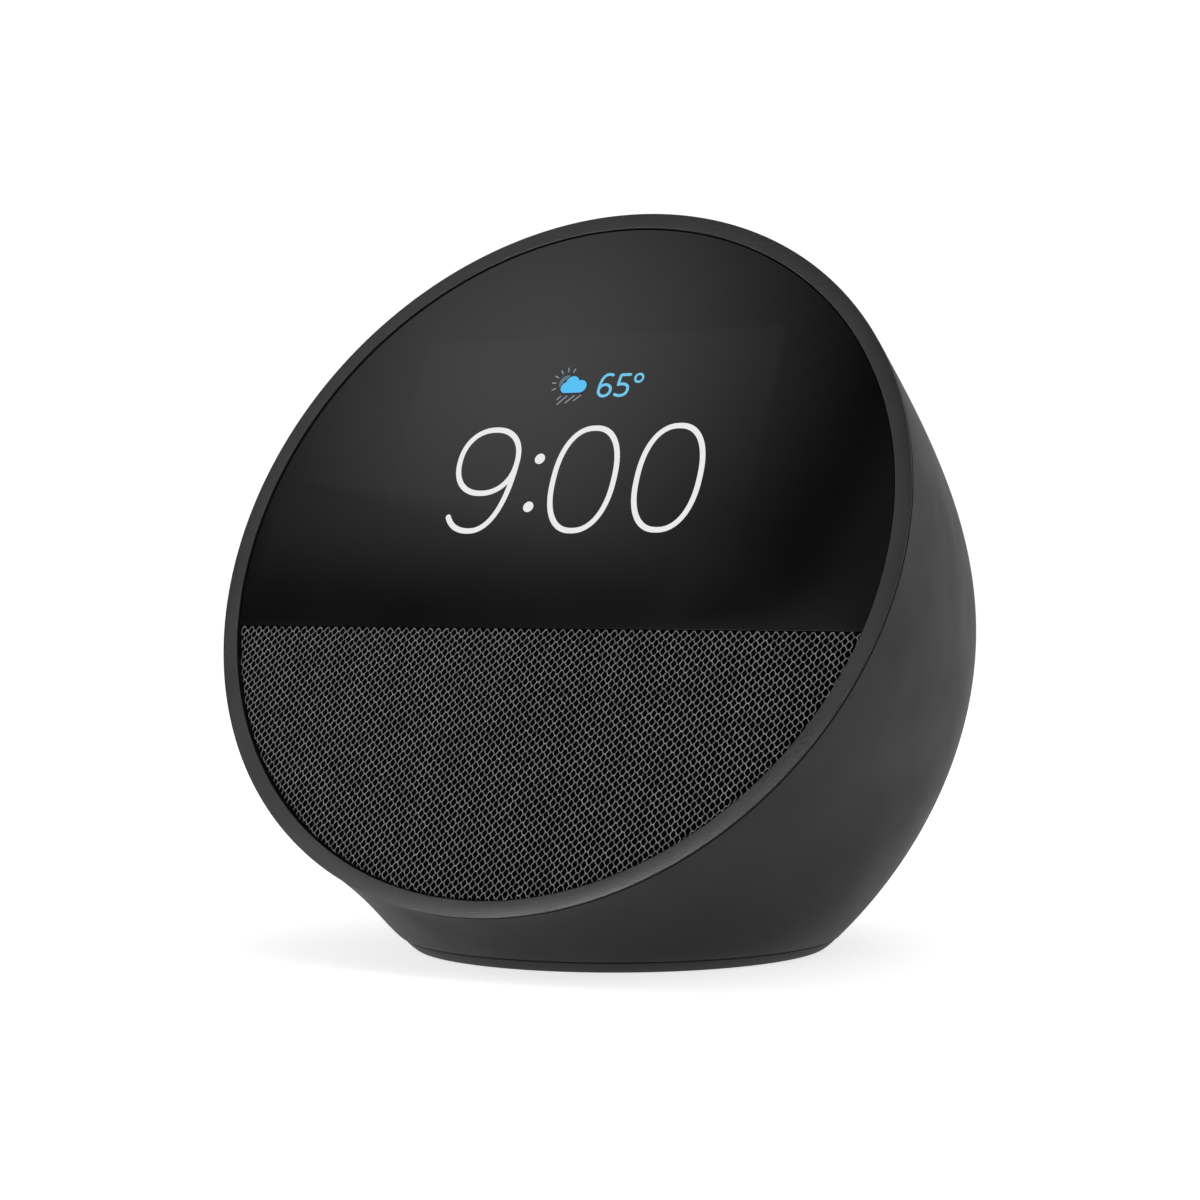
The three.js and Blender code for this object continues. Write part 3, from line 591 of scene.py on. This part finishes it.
def surface_height(tree, place, x, y):
    """How far above the frame's own level the surface lies, at (x, y) in that frame."""
    origin = place @ Vector((x, y, 5))
    hit, _, _, _ = tree.ray_cast(origin * MM, -place.col[2].to_3d(), 12 * MM)
    return 0.0 if hit is None else (place.inverted() @ (hit / MM)).z


def hole_cutter(name, tree, place, radius, ease, turns, x=0.0, deep=-8.0):
    """A cutter for a round hole whose mouth has an eased edge that follows the curved surface."""
    steps = [(0, deep), (0, -ease), (0.3 * ease, -0.3 * ease),
             (ease, 0.02), (1.6 * ease, 0.15), (1.6 * ease, 3)]
    loops = []
    for index, (wider, height) in enumerate(steps):
        loop = []
        for px, py, _ in circle_loop(radius + wider, 0, turns):
            follow = surface_height(tree, place, x + px, py) if 0 < index < len(steps) - 1 else 0.0
            loop.append(place @ Vector((x + px, py, height + follow)))
        loops.append(loop)
    return make_object(name, loft(loops), shell_plastic)


shell = add_piece("rear_shell_skin", rear_shell(), shell_plastic, sharp=40,
                  replaces=["rear_shell"])
shell_tree = BVHTree.FromObject(shell, bpy.context.evaluated_depsgraph_get())
top_places = {step: shell_place(math.pi / 2 - step * BUTTON_SPREAD, BUTTON_TRAVEL)
              for step in range(-2, 3)}
socket_place = Matrix.Translation((0, SOCKET_Y, SOCKET_Z)) @ Matrix.Rotation(-math.pi / 2, 4, "X")

cutters = []
for step, place in top_places.items():
    if abs(step) < 2:
        name = f"button_cut_{step}"
        cutters.append(hole_cutter(name, shell_tree, place, BUTTON_HOLE_RADIUS, HOLE_EASE, 96))
    else:
        name = f"port_cut_{step}"
        port_x = -math.copysign(MICROPHONE_X, step)
        cutters.append(hole_cutter(name, shell_tree, place, PORT_RADIUS, PORT_EASE, 32, port_x))
socket_cut = loft([[socket_place @ Vector(point) for point in circle_loop(SOCKET_HOLE_RADIUS, height, 64)]
                   for height in (-12, 14)])
cutters.append(make_object("socket_cut", socket_cut, shell_plastic))
combine(shell, cutters, "DIFFERENCE")
shell.data.shade_smooth()
shell.data.set_sharp_from_angle(angle=math.radians(28))

# ------------------------------------------------------------------------- face

FACE_TURNS = 256
EDGE_STEPS = 6

ring_corners = [(OPENING_RADIUS, -RING_DEPTH), (RING_STEP_RADIUS, -RING_DEPTH), (RING_STEP_RADIUS, -RING_LIP),
                (RING_RADIUS, -RING_LIP), (RING_RADIUS, 0), (OPENING_RADIUS, 0)]
ring_eases = [0.1, 0.1, 0, 0.04, 0.05, 0.12]
add_piece("bezel_ring_fine", turned(rounded(ring_corners, ring_eases), FACE_TURNS), ring_plastic,
          place=FACE_PLACE, replaces=["bezel_ring"])


def disc_part(radius, line_y, upper, inset, height, arc_steps=160, line_steps=60):
    """The outline of the part of a disc above or below a level line, drawn in by inset."""
    reach = radius - inset
    level = line_y + inset if upper else line_y - inset
    angle = math.asin(level / reach)
    start, end = (angle, math.pi - angle) if upper else (math.pi - angle, 2 * math.pi + angle)
    loop = []
    for step in range(arc_steps):
        here = start + (end - start) * step / arc_steps
        loop.append((reach * math.cos(here), reach * math.sin(here), height))
    left, right = reach * math.cos(end), reach * math.cos(start)
    for step in range(line_steps):
        loop.append((left + (right - left) * step / line_steps, level, height))
    return loop


def slab_with_eased_edge(radius, line_y, upper, back, front, ease, back_ease=0.1):
    loops = [disc_part(radius, line_y, upper, back_ease, back),
             disc_part(radius, line_y, upper, 0, back + back_ease)]
    for step in range(EDGE_STEPS):
        angle = math.pi / 2 * step / (EDGE_STEPS - 1)
        inset, drop = ease * (1 - math.cos(angle)), ease * (1 - math.sin(angle))
        loops.append(disc_part(radius, line_y, upper, inset, front - drop))
    return loft(loops)


glass_bottom = DIVIDER_Y + GAP / 2
glass_part = slab_with_eased_edge(FACE_PIECE_RADIUS, glass_bottom, True, GLASS_BACK, GLASS_FRONT, GLASS_EASE)
add_piece("touch_glass_fine", glass_part, glass, place=FACE_PLACE,
          replaces=["touch_glass"])

# ------------------------------------------------------------------ knitted net

WALE = 0.71
COURSE = 1.25
SWING = 0.15
THREAD = 0.064
THREAD_SIDES = 6
COURSE_STEPS = 8
KNOT = 0.085
KNOT_RISE = 0.05
KNOT_LEAN = 0.05
JITTER = 0.025
LEVEL_JITTER = 0.015
WANDER = 0.02
WANDER_TURN = 0.9
NET_LEVEL = -0.5
CLOTH_TOP = DIVIDER_Y - GAP / 2
TUCK_WIDTH = 0.7
TUCK_DEPTH = 0.25


def tuck(x, y):
    """How far the net drops as it turns under beside the ring."""
    near = max(0.0, FACE_PIECE_RADIUS - math.hypot(x, y))
    return TUCK_DEPTH * max(0.0, 1 - near / TUCK_WIDTH) ** 2


def net():
    """Zigzag threads side by side, each tied to the next by a short knot wherever the two come close."""
    draw = random.Random(11)
    reach = FACE_PIECE_RADIUS - THREAD
    sections = [2 * math.pi * side / THREAD_SIDES for side in range(THREAD_SIDES)]
    columns = int(FACE_PIECE_RADIUS / WALE)
    threads = []
    for column in range(-columns, columns + 1):
        swing = 1 if column % 2 else -1
        tie_step = 0 if swing > 0 else COURSE_STEPS // 2
        wander = draw.uniform(0, 2 * math.pi)
        line = []
        for step in range(int(2 * FACE_PIECE_RADIUS / COURSE * COURSE_STEPS)):
            y = CLOTH_TOP - THREAD - step * COURSE / COURSE_STEPS
            wave = math.cos(2 * math.pi * step / COURSE_STEPS)
            sway = WANDER * math.sin(WANDER_TURN * y + wander) + draw.uniform(-JITTER, JITTER)
            x = column * WALE + swing * SWING * wave + sway
            if math.hypot(x, y) > reach:
                continue
            z = NET_LEVEL + draw.uniform(-LEVEL_JITTER, LEVEL_JITTER) - tuck(x, y)
            line.append(Vector((x, y, z)))
            tie_x = (column + 0.5) * WALE
            if step % COURSE_STEPS == tie_step and math.hypot(tie_x + WALE / 2, y) < reach:
                threads.append(knot(tie_x, y, z, draw, sections))
        if len(line) > 3:
            threads.append(thread_tube(line, sections, THREAD * draw.uniform(0.9, 1.1)))
    return merged(threads)


def knot(x, y, z, draw, sections):
    """A short tie between two threads, a little proud of them and never quite level."""
    half = WALE / 2 - SWING
    lean = draw.uniform(-KNOT_LEAN, KNOT_LEAN)
    line = [Vector((x - half, y - lean, z)),
            Vector((x, y, z + KNOT_RISE)),
            Vector((x + half, y + lean, z))]
    return thread_tube(line, sections, KNOT * draw.uniform(0.8, 1.15))


def thread_tube(line, sections, radius):
    """A thread of a given radius along a line of points."""
    loops = []
    for index, point in enumerate(line):
        along = (line[min(index + 1, len(line) - 1)] - line[max(index - 1, 0)]).normalized()
        side = along.cross(Vector((0, 0, 1))).normalized()
        up = side.cross(along)
        loops.append([point + side * (radius * math.cos(turn)) + up * (radius * math.sin(turn))
                      for turn in sections])
    return loft(loops)


cloth_front = CLOTH_BACK + CLOTH_THICKNESS
backing_part = slab_with_eased_edge(FACE_PIECE_RADIUS, CLOTH_TOP, False, CLOTH_BACK, cloth_front, 0.06)
backing = add_piece("grille_backing_cloth", backing_part, backing_cloth, place=FACE_PLACE,
                    replaces=["grille_fabric"])
knitted = add_piece("grille_knitted_net", net(), net_yarn, place=FACE_PLACE, sharp=80)

# ---------------------------------------------------------------------- display

INK_BACK = GLASS_FRONT - 0.03
INK_FRONT = GLASS_FRONT + 0.02


def stroke(line, width, closed=False):
    """A flat line of light along points in the face plane, with round ends where it is open."""
    points = [Vector(point) for point in line]
    halves = [width / 2] * len(points)
    if not closed:
        ends = []
        for end, inner in ((points[0], points[1]), (points[-1], points[-2])):
            away = (end - inner).normalized()
            shares = [math.sin(math.pi / 2 * step / 4) for step in (1, 2, 3, 4)]
            ends.append([(end + away * (width / 2 * s), width / 2 * math.sqrt(max(1 - s * s, 0.002)))
                         for s in shares])
        points = [p for p, _ in reversed(ends[0])] + points + [p for p, _ in ends[1]]
        halves = [h for _, h in reversed(ends[0])] + halves + [h for _, h in ends[1]]
    loops = []
    last = len(points) - 1
    for index, point in enumerate(points):
        before = points[index - 1] if closed or index > 0 else point
        after = points[(index + 1) % len(points)] if closed or index < last else point
        along = (after - before).normalized()
        side = Vector((-along.y, along.x)) * halves[index]
        left, right = point + side, point - side
        loops.append([(left.x, left.y, INK_BACK), (left.x, left.y, INK_FRONT),
                      (right.x, right.y, INK_FRONT), (right.x, right.y, INK_BACK)])
    return loft(loops, ring=closed)


def round_square(centre, radius_x, radius_y, power=2.3, steps=96, start=0.0, end=2 * math.pi):
    """Points on an oval that is a little squarer than an ellipse, closed when it goes right round."""
    whole = abs(end - start - 2 * math.pi) < 1e-6
    points = []
    for step in range(steps if whole else steps + 1):
        angle = start + (end - start) * step / steps
        cosine, sine = math.cos(angle), math.sin(angle)
        points.append((
            centre[0] + radius_x * math.copysign(abs(cosine) ** (2 / power), cosine),
            centre[1] + radius_y * math.copysign(abs(sine) ** (2 / power), sine),
        ))
    return points


def bezier(*handles, steps=16):
    """Points on a chain of cubic curves that share their ends."""
    points = [handles[0]]
    for first in range(0, len(handles) - 3, 3):
        a, b, c, d = (Vector(handle) for handle in handles[first:first + 4])
        for step in range(1, steps + 1):
            t = step / steps
            point = a * (1 - t) ** 3 + b * (3 * t * (1 - t) ** 2) + c * (3 * t * t * (1 - t)) + d * t**3
            points.append(tuple(point))
    return points


def flat_shape(outline, lift=0.0):
    """A filled outline of light. lift puts it in front of its neighbours."""
    return loft([[(x, y, height) for x, y in outline] for height in (INK_BACK, INK_FRONT + lift)])


def dot(centre, radius):
    return flat_shape(round_square(centre, radius, radius, power=2, steps=32))


CLOCK_STROKE = 0.88
zeros = [stroke(round_square((x, 11.45), 5.17, 8.4), CLOCK_STROKE, closed=True) for x in (2.86, 17.03)]
nine_bowl = stroke(round_square((-14.45, 14.72), 5.08, 5.32, power=2.2), CLOCK_STROKE, closed=True)
nine_tail = stroke(bezier((-9.37, 15.2), (-9.37, 8.0), (-11.2, 3.15), (-14.9, 3.15),
                          (-16.9, 3.15), (-18.3, 3.9), (-19.15, 5.5)), CLOCK_STROKE)
colon = [dot((-5.5, y), 0.86) for y in (7.03, 14.97)]
clock = merged([*zeros, nine_bowl, nine_tail, *colon])
add_piece("display_clock", clock, clock_white, place=FACE_PLACE, sharp=30)

SMALL_STROKE = 0.46
six_bowl = stroke(round_square((2.83, 26.17), 1.02, 0.96, power=2, steps=40), SMALL_STROKE, closed=True)
six_stem = stroke(bezier((1.81, 26.1), (1.81, 27.9), (2.3, 28.8), (3.1, 28.83),
                         (3.35, 28.83), (3.6, 28.8), (3.78, 28.7)), SMALL_STROKE)
five_top = stroke([(6.75, 28.68), (5.22, 28.68), (5.16, 28.62), (5.0, 27.12)], SMALL_STROKE)
five_bowl = stroke(bezier((5.0, 27.05), (5.9, 27.3), (6.8, 27.05), (6.78, 26.2),
                          (6.75, 25.2), (5.6, 24.95), (4.72, 25.42)), SMALL_STROKE)
degree = stroke(round_square((8.33, 28.05), 0.66, 0.66, power=2, steps=32), 0.36, closed=True)
temperature = merged([six_bowl, six_stem, five_top, five_bowl, degree])
add_piece("display_temperature", temperature, pale_blue, place=FACE_PLACE, sharp=30)

SUN_CENTRE = (-4.0, 27.65)
SUN_RADIUS = 0.98
RAY_REACH = (1.95, 2.55)
CLOUD_CENTRE = (-2.75, 26.9)
CLOUD_LUMPS = [((-3.95, 26.86), 0.92), ((-3.0, 27.62), 1.15), ((-1.5, 27.0), 1.06),
               ((-3.3, 26.86), 0.92), ((-2.7, 26.86), 0.92), ((-2.1, 26.9), 0.96)]
CLOUD_EDGE = 0.2


def cloud_outline(grow=0.0):
    """The furthest reach of the overlapping round lumps, seen from the middle of the cloud."""
    outline = []
    for step in range(120):
        angle = 2 * math.pi * step / 120
        ray = Vector((math.cos(angle), math.sin(angle)))
        reach = 0.0
        for centre, radius in CLOUD_LUMPS:
            offset = Vector(centre) - Vector(CLOUD_CENTRE)
            along = offset.dot(ray)
            inside = (radius + grow) ** 2 - (offset - ray * along).length_squared
            if inside > 0:
                reach = max(reach, along + math.sqrt(inside))
        outline.append((CLOUD_CENTRE[0] + ray.x * reach, CLOUD_CENTRE[1] + ray.y * reach))
    return outline


# A dark edge parts the cloud from the sun behind it.
add_piece("display_cloud", flat_shape(cloud_outline(), 0.02), sky_blue, place=FACE_PLACE,
          sharp=30)
add_piece("display_cloud_edge", flat_shape(cloud_outline(CLOUD_EDGE), 0.01), glass,
          place=FACE_PLACE, sharp=30)
sun_arc = round_square(SUN_CENTRE, SUN_RADIUS, SUN_RADIUS, power=2, steps=24,
                       start=math.radians(62), end=math.radians(204))
add_piece("display_sun", stroke(sun_arc, 0.64), sun_grey, place=FACE_PLACE, sharp=30)
rays = []
for number in range(6):
    angle = math.radians(68 + 27.5 * number)
    ends = [(SUN_CENTRE[0] + reach * math.cos(angle), SUN_CENTRE[1] + reach * math.sin(angle))
            for reach in RAY_REACH]
    rays.append(stroke(ends, 0.17))
drops = [((-5.06, 24.91), (-4.54, 25.45)), ((-4.85, 24.06), (-3.46, 25.44)),
         ((-3.5, 24.27), (-2.2, 25.46)), ((-2.12, 24.61), (-1.08, 25.48))]
rays.extend(stroke(ends, 0.16) for ends in drops)
add_piece("display_rays_and_rain", merged(rays), rain_grey, place=FACE_PLACE, sharp=30)

# ---------------------------------------------------------------------- buttons


def metres(place):
    """A frame in millimetres as one in metres."""
    scaled = place.copy()
    scaled.translation = place.translation * MM
    return scaled


CAP_BOTTOM = -3.5
FLANGE_TOP = -2.8
FLANGE_RADIUS = 5.9
CAP_EASE = 0.45
DOME_RADIUS = BUTTON_RADIUS - CAP_EASE
DOME_BASE = 0.35
CAP_TOP = 0.65
CAP_STEPS = 8
NEAR_AXIS = 0.001


def dome_height(share):
    """The height of the cap's dome, at a share of the way from its middle to its edge."""
    return DOME_BASE + (CAP_TOP - DOME_BASE) * (1 - share**2)


flange = [(FLANGE_RADIUS, CAP_BOTTOM), (FLANGE_RADIUS, FLANGE_TOP), (BUTTON_RADIUS, FLANGE_TOP)]
cap_profile = [(NEAR_AXIS, CAP_BOTTOM), *rounded(flange, [0.15, 0.2, 0.1])]
for step in range(CAP_STEPS + 1):
    angle = math.pi / 2 * step / CAP_STEPS
    level = DOME_BASE - CAP_EASE * (1 - math.sin(angle))
    cap_profile.append((BUTTON_RADIUS - CAP_EASE * (1 - math.cos(angle)), level))
for step in range(1, CAP_STEPS + 1):
    share = 1 - step / CAP_STEPS
    cap_profile.append((max(DOME_RADIUS * share, NEAR_AXIS), dome_height(share)))


MARK_HALF = 1.7
MARK_RISE = 0.04
MARK_SINK = -0.1
WIDE_LINE = 0.36
FINE_LINE = 0.24


def mark(line, width, closed=False):
    """A raised line on a button cap, following its gentle dome."""
    points, faces = stroke(line, width, closed)
    lifted = []
    for x, y, z in points:
        dome = dome_height(min(math.hypot(x, y) / DOME_RADIUS, 1))
        lifted.append((x, y, dome + (MARK_RISE if z > (INK_BACK + INK_FRONT) / 2 else MARK_SINK)))
    return lifted, faces


steps_across = [MARK_HALF * (step / 4 - 1) for step in range(9)]
level_line = [(along, 0) for along in steps_across]
upright_line = [(0, along) for along in steps_across]
capsule = (round_square((0, 0.95), 0.55, 0.55, power=2, steps=12, start=0, end=math.pi)
           + round_square((0, -0.05), 0.55, 0.55, power=2, steps=12, start=math.pi, end=2 * math.pi))
cradle = round_square((0, 0.05), 1.2, 1.2, power=2, steps=16,
                      start=math.radians(190), end=math.radians(350))
BUTTONS = {
    "volume_down": (-1, [mark(level_line, WIDE_LINE)]),
    "microphone": (0, [mark(capsule, FINE_LINE, closed=True), mark(cradle, FINE_LINE),
                       mark([(0, -1.15), (0, -1.4), (0, -1.7)], FINE_LINE),
                       mark([(-0.6, -1.75), (0, -1.75), (0.6, -1.75)], FINE_LINE)]),
    "volume_up": (1, [mark(level_line, WIDE_LINE), mark(upright_line, WIDE_LINE)]),
}
for name, (step, marks) in BUTTONS.items():
    body = f"{name}_button"
    place = metres(top_places[step])
    add_piece(f"{name}_cap", turned(cap_profile, 96, ring=False), button_plastic, body,
              place, sharp=50, replaces=[f"{name}_button"])
    add_piece(f"{name}_mark", merged(marks), mark_paint, body, place, sharp=30)

# -------------------------------------------------------------- socket and foot

nose_corners = [(SOCKET_BORE_RADIUS, -SOCKET_NOSE_LENGTH), (SOCKET_NOSE_RADIUS, -SOCKET_NOSE_LENGTH),
                (SOCKET_NOSE_RADIUS, 0), (SOCKET_BORE_RADIUS, 0)]
nose_profile = rounded(nose_corners, [0, 0, 0.25, 0.3])
socket_body_loops = []
for inset, height in ((SOCKET_BODY_EASE, SOCKET_BODY_BACK), (0, SOCKET_BODY_BACK + SOCKET_BODY_EASE),
                      (0, -SOCKET_NOSE_LENGTH - SOCKET_BODY_EASE), (SOCKET_BODY_EASE, -SOCKET_NOSE_LENGTH)):
    across, up = SOCKET_BODY_HALF_WIDTH - inset, SOCKET_BODY_HALF_HEIGHT - inset
    corners = [(across, up), (-across, up), (-across, -up), (across, -up)]
    socket_body_loops.append([(x, y, height) for x, y in rounded(corners, [0.6] * 4)])
socket_part = merged([turned(nose_profile, 64), loft(socket_body_loops)])
add_piece("power_socket_fine", socket_part, chip_black, place=metres(socket_place),
          replaces=["power_socket"])


def oval(radius_x, radius_y, height, turns=200):
    points = []
    for i in range(turns):
        angle = 2 * math.pi * i / turns
        points.append((radius_x * math.cos(angle), BASE_CENTRE_Y + radius_y * math.sin(angle), height))
    return points


# Inset from the outline, and height: a raised middle, a flat tread with one groove, and a sloped side.
FOOT_PROFILE = [(14, 0.4), (13.1, 0.4), (13.0, 0.3), (12.95, 0.06), (12.8, 0),
                (7.2, 0), (7, 0.12), (6.6, 0.12), (6.4, 0), (2.1, 0),
                (1.7, 0.08), (1.35, 0.3), (0.85, 0.7), (0.3, 1.2), (0.1, 1.5), (0.2, FOOT_HEIGHT)]
foot_loops = [oval(FOOT_RADIUS_X - inset, FOOT_RADIUS_Y - inset, height) for inset, height in FOOT_PROFILE]
add_piece("foot_pad_fine", loft(foot_loops), foot_rubber, sharp=45, replaces=["foot_pad"])

# -------------------------------------------------- floor, lights and the camera

CAMERA_PLACE = Vector((0.2146, -0.3832, 0.0566))
CAMERA_AZIMUTH = math.radians(30.09)
CAMERA_ELEVATION = math.radians(0.56)
CAMERA_ROLL = math.radians(-0.08)
FOCAL_LENGTH = 85.5
SENSOR_WIDTH = 36
CARD_DISTANCE = 0.9
FLOOR_HALF_WIDTH = 40000


def floor():
    made = Nodes("pale_floor")
    cloud = made.noise(3, 2.0)
    made.link(made.mix(cloud, (0.88, 0.88, 0.88), (0.9, 0.9, 0.9)), made.shader.inputs["Base Color"])
    made.set(Roughness=0.9, Specular_IOR_Level=0.0, Emission_Strength=0.66, Emission_Color=(1, 1, 1, 1))
    far = FLOOR_HALF_WIDTH
    corners = ((far, far), (-far, far), (-far, -far), (far, -far))
    loops = [[(x, y, z) for x, y in corners] for z in (-1, 0)]
    piece = make_object("floor", loft(loops), made.material)


def world():
    """White round the horizon and greyer overhead, as in a white cove with an open top."""
    surroundings = bpy.data.worlds.new("studio")
    bpy.context.scene.world = surroundings
    surroundings.use_nodes = True
    tree = surroundings.node_tree
    background = tree.nodes["Background"]
    place = tree.nodes.new("ShaderNodeTexCoord")
    split = tree.nodes.new("ShaderNodeSeparateXYZ")
    tree.links.new(place.outputs["Generated"], split.inputs["Vector"])
    fade = tree.nodes.new("ShaderNodeMapRange")
    fade.interpolation_type = "SMOOTHSTEP"
    fade.inputs["From Min"].default_value = math.sin(math.radians(18))
    fade.inputs["From Max"].default_value = math.sin(math.radians(30))
    fade.inputs["To Min"].default_value = 1.05
    fade.inputs["To Max"].default_value = 0.32
    tree.links.new(split.outputs["Z"], fade.inputs["Value"])
    tree.links.new(fade.outputs["Result"], background.inputs["Strength"])
    background.inputs["Color"].default_value = (1, 1, 1, 1)


def soft_light(name, place, target, size, power):
    light = bpy.data.lights.new(name, "AREA")
    light.shape = "RECTANGLE"
    light.size, light.size_y = size
    light.energy = power
    made = bpy.data.objects.new(name, light)
    bpy.context.scene.collection.objects.link(made)
    made.location = place
    made.rotation_mode = "QUATERNION"
    made.rotation_quaternion = (Vector(target) - Vector(place)).to_track_quat("-Z", "Y")
    return made


def soft_card(name, mirrored_at, radius, level):
    """A round soft light that fades out towards its rim, hung where a spot on the face's plane mirrors it."""
    spot = FACE_PLACE @ (Vector((*mirrored_at, 0)) * MM)
    look = (spot - CAMERA_PLACE).normalized()
    mirrored = look - FACE_OUT * (2 * look.dot(FACE_OUT))
    made = Nodes(f"{name}_light")
    reach = made.add("ShaderNodeVectorMath", operation="LENGTH")
    made.link(made.place, reach.inputs[0])
    strength = made.spread(reach.outputs["Value"], level, 0, 0, radius)
    strength.node.interpolation_type = "SMOOTHSTEP"
    made.link(strength, made.shader.inputs["Emission Strength"])
    made.set(Emission_Color=(1, 1, 1, 1), Base_Color=(0, 0, 0, 1), Specular_IOR_Level=0.0)
    right = Vector((0, 0, 1)).cross(-mirrored).normalized()
    place = Matrix((right, (-mirrored).cross(right), -mirrored)).transposed().to_4x4()
    place.translation = spot + mirrored * CARD_DISTANCE
    loops = [circle_loop(radius / MM, height, 48) for height in (-2, 0)]
    card = make_object(name, loft(loops), made.material, place)
    card.visible_camera = False
    card.visible_shadow = False
    card.visible_diffuse = False


def camera():
    data = bpy.data.cameras.new("camera")
    data.lens = FOCAL_LENGTH
    data.sensor_width = SENSOR_WIDTH
    data.clip_start = 0.01
    data.clip_end = 200
    made = bpy.data.objects.new("camera", data)
    bpy.context.scene.collection.objects.link(made)
    made.location = CAMERA_PLACE
    rise = Matrix.Rotation(math.pi / 2 - CAMERA_ELEVATION, 4, "X")
    turn = Matrix.Rotation(CAMERA_AZIMUTH, 4, "Z") @ rise
    made.rotation_mode = "QUATERNION"
    made.rotation_quaternion = (turn @ Matrix.Rotation(CAMERA_ROLL, 4, "Z")).to_quaternion()
    bpy.context.scene.camera = made


camera()
floor()
world()
soft_card("glass_card", mirrored_at=(-25, 56), radius=0.33, level=2.3)
soft_card("ring_card", mirrored_at=(52, -114), radius=0.15, level=72.0)
soft_light("right_light", (0.75, 0.15, 0.45), target=(0.03, 0, 0.05), size=(0.5, 0.8), power=0.7)
soft_light("left_light", (-0.8, -0.05, 0.2), target=(-0.02, -0.02, 0.03), size=(0.4, 0.5), power=0.8)
soft_light("top_light", (0.1, 0.1, 1.1), target=(0, 0, 0), size=(0.9, 0.9), power=2.1)
bpy.context.scene.view_settings.view_transform = "Standard"
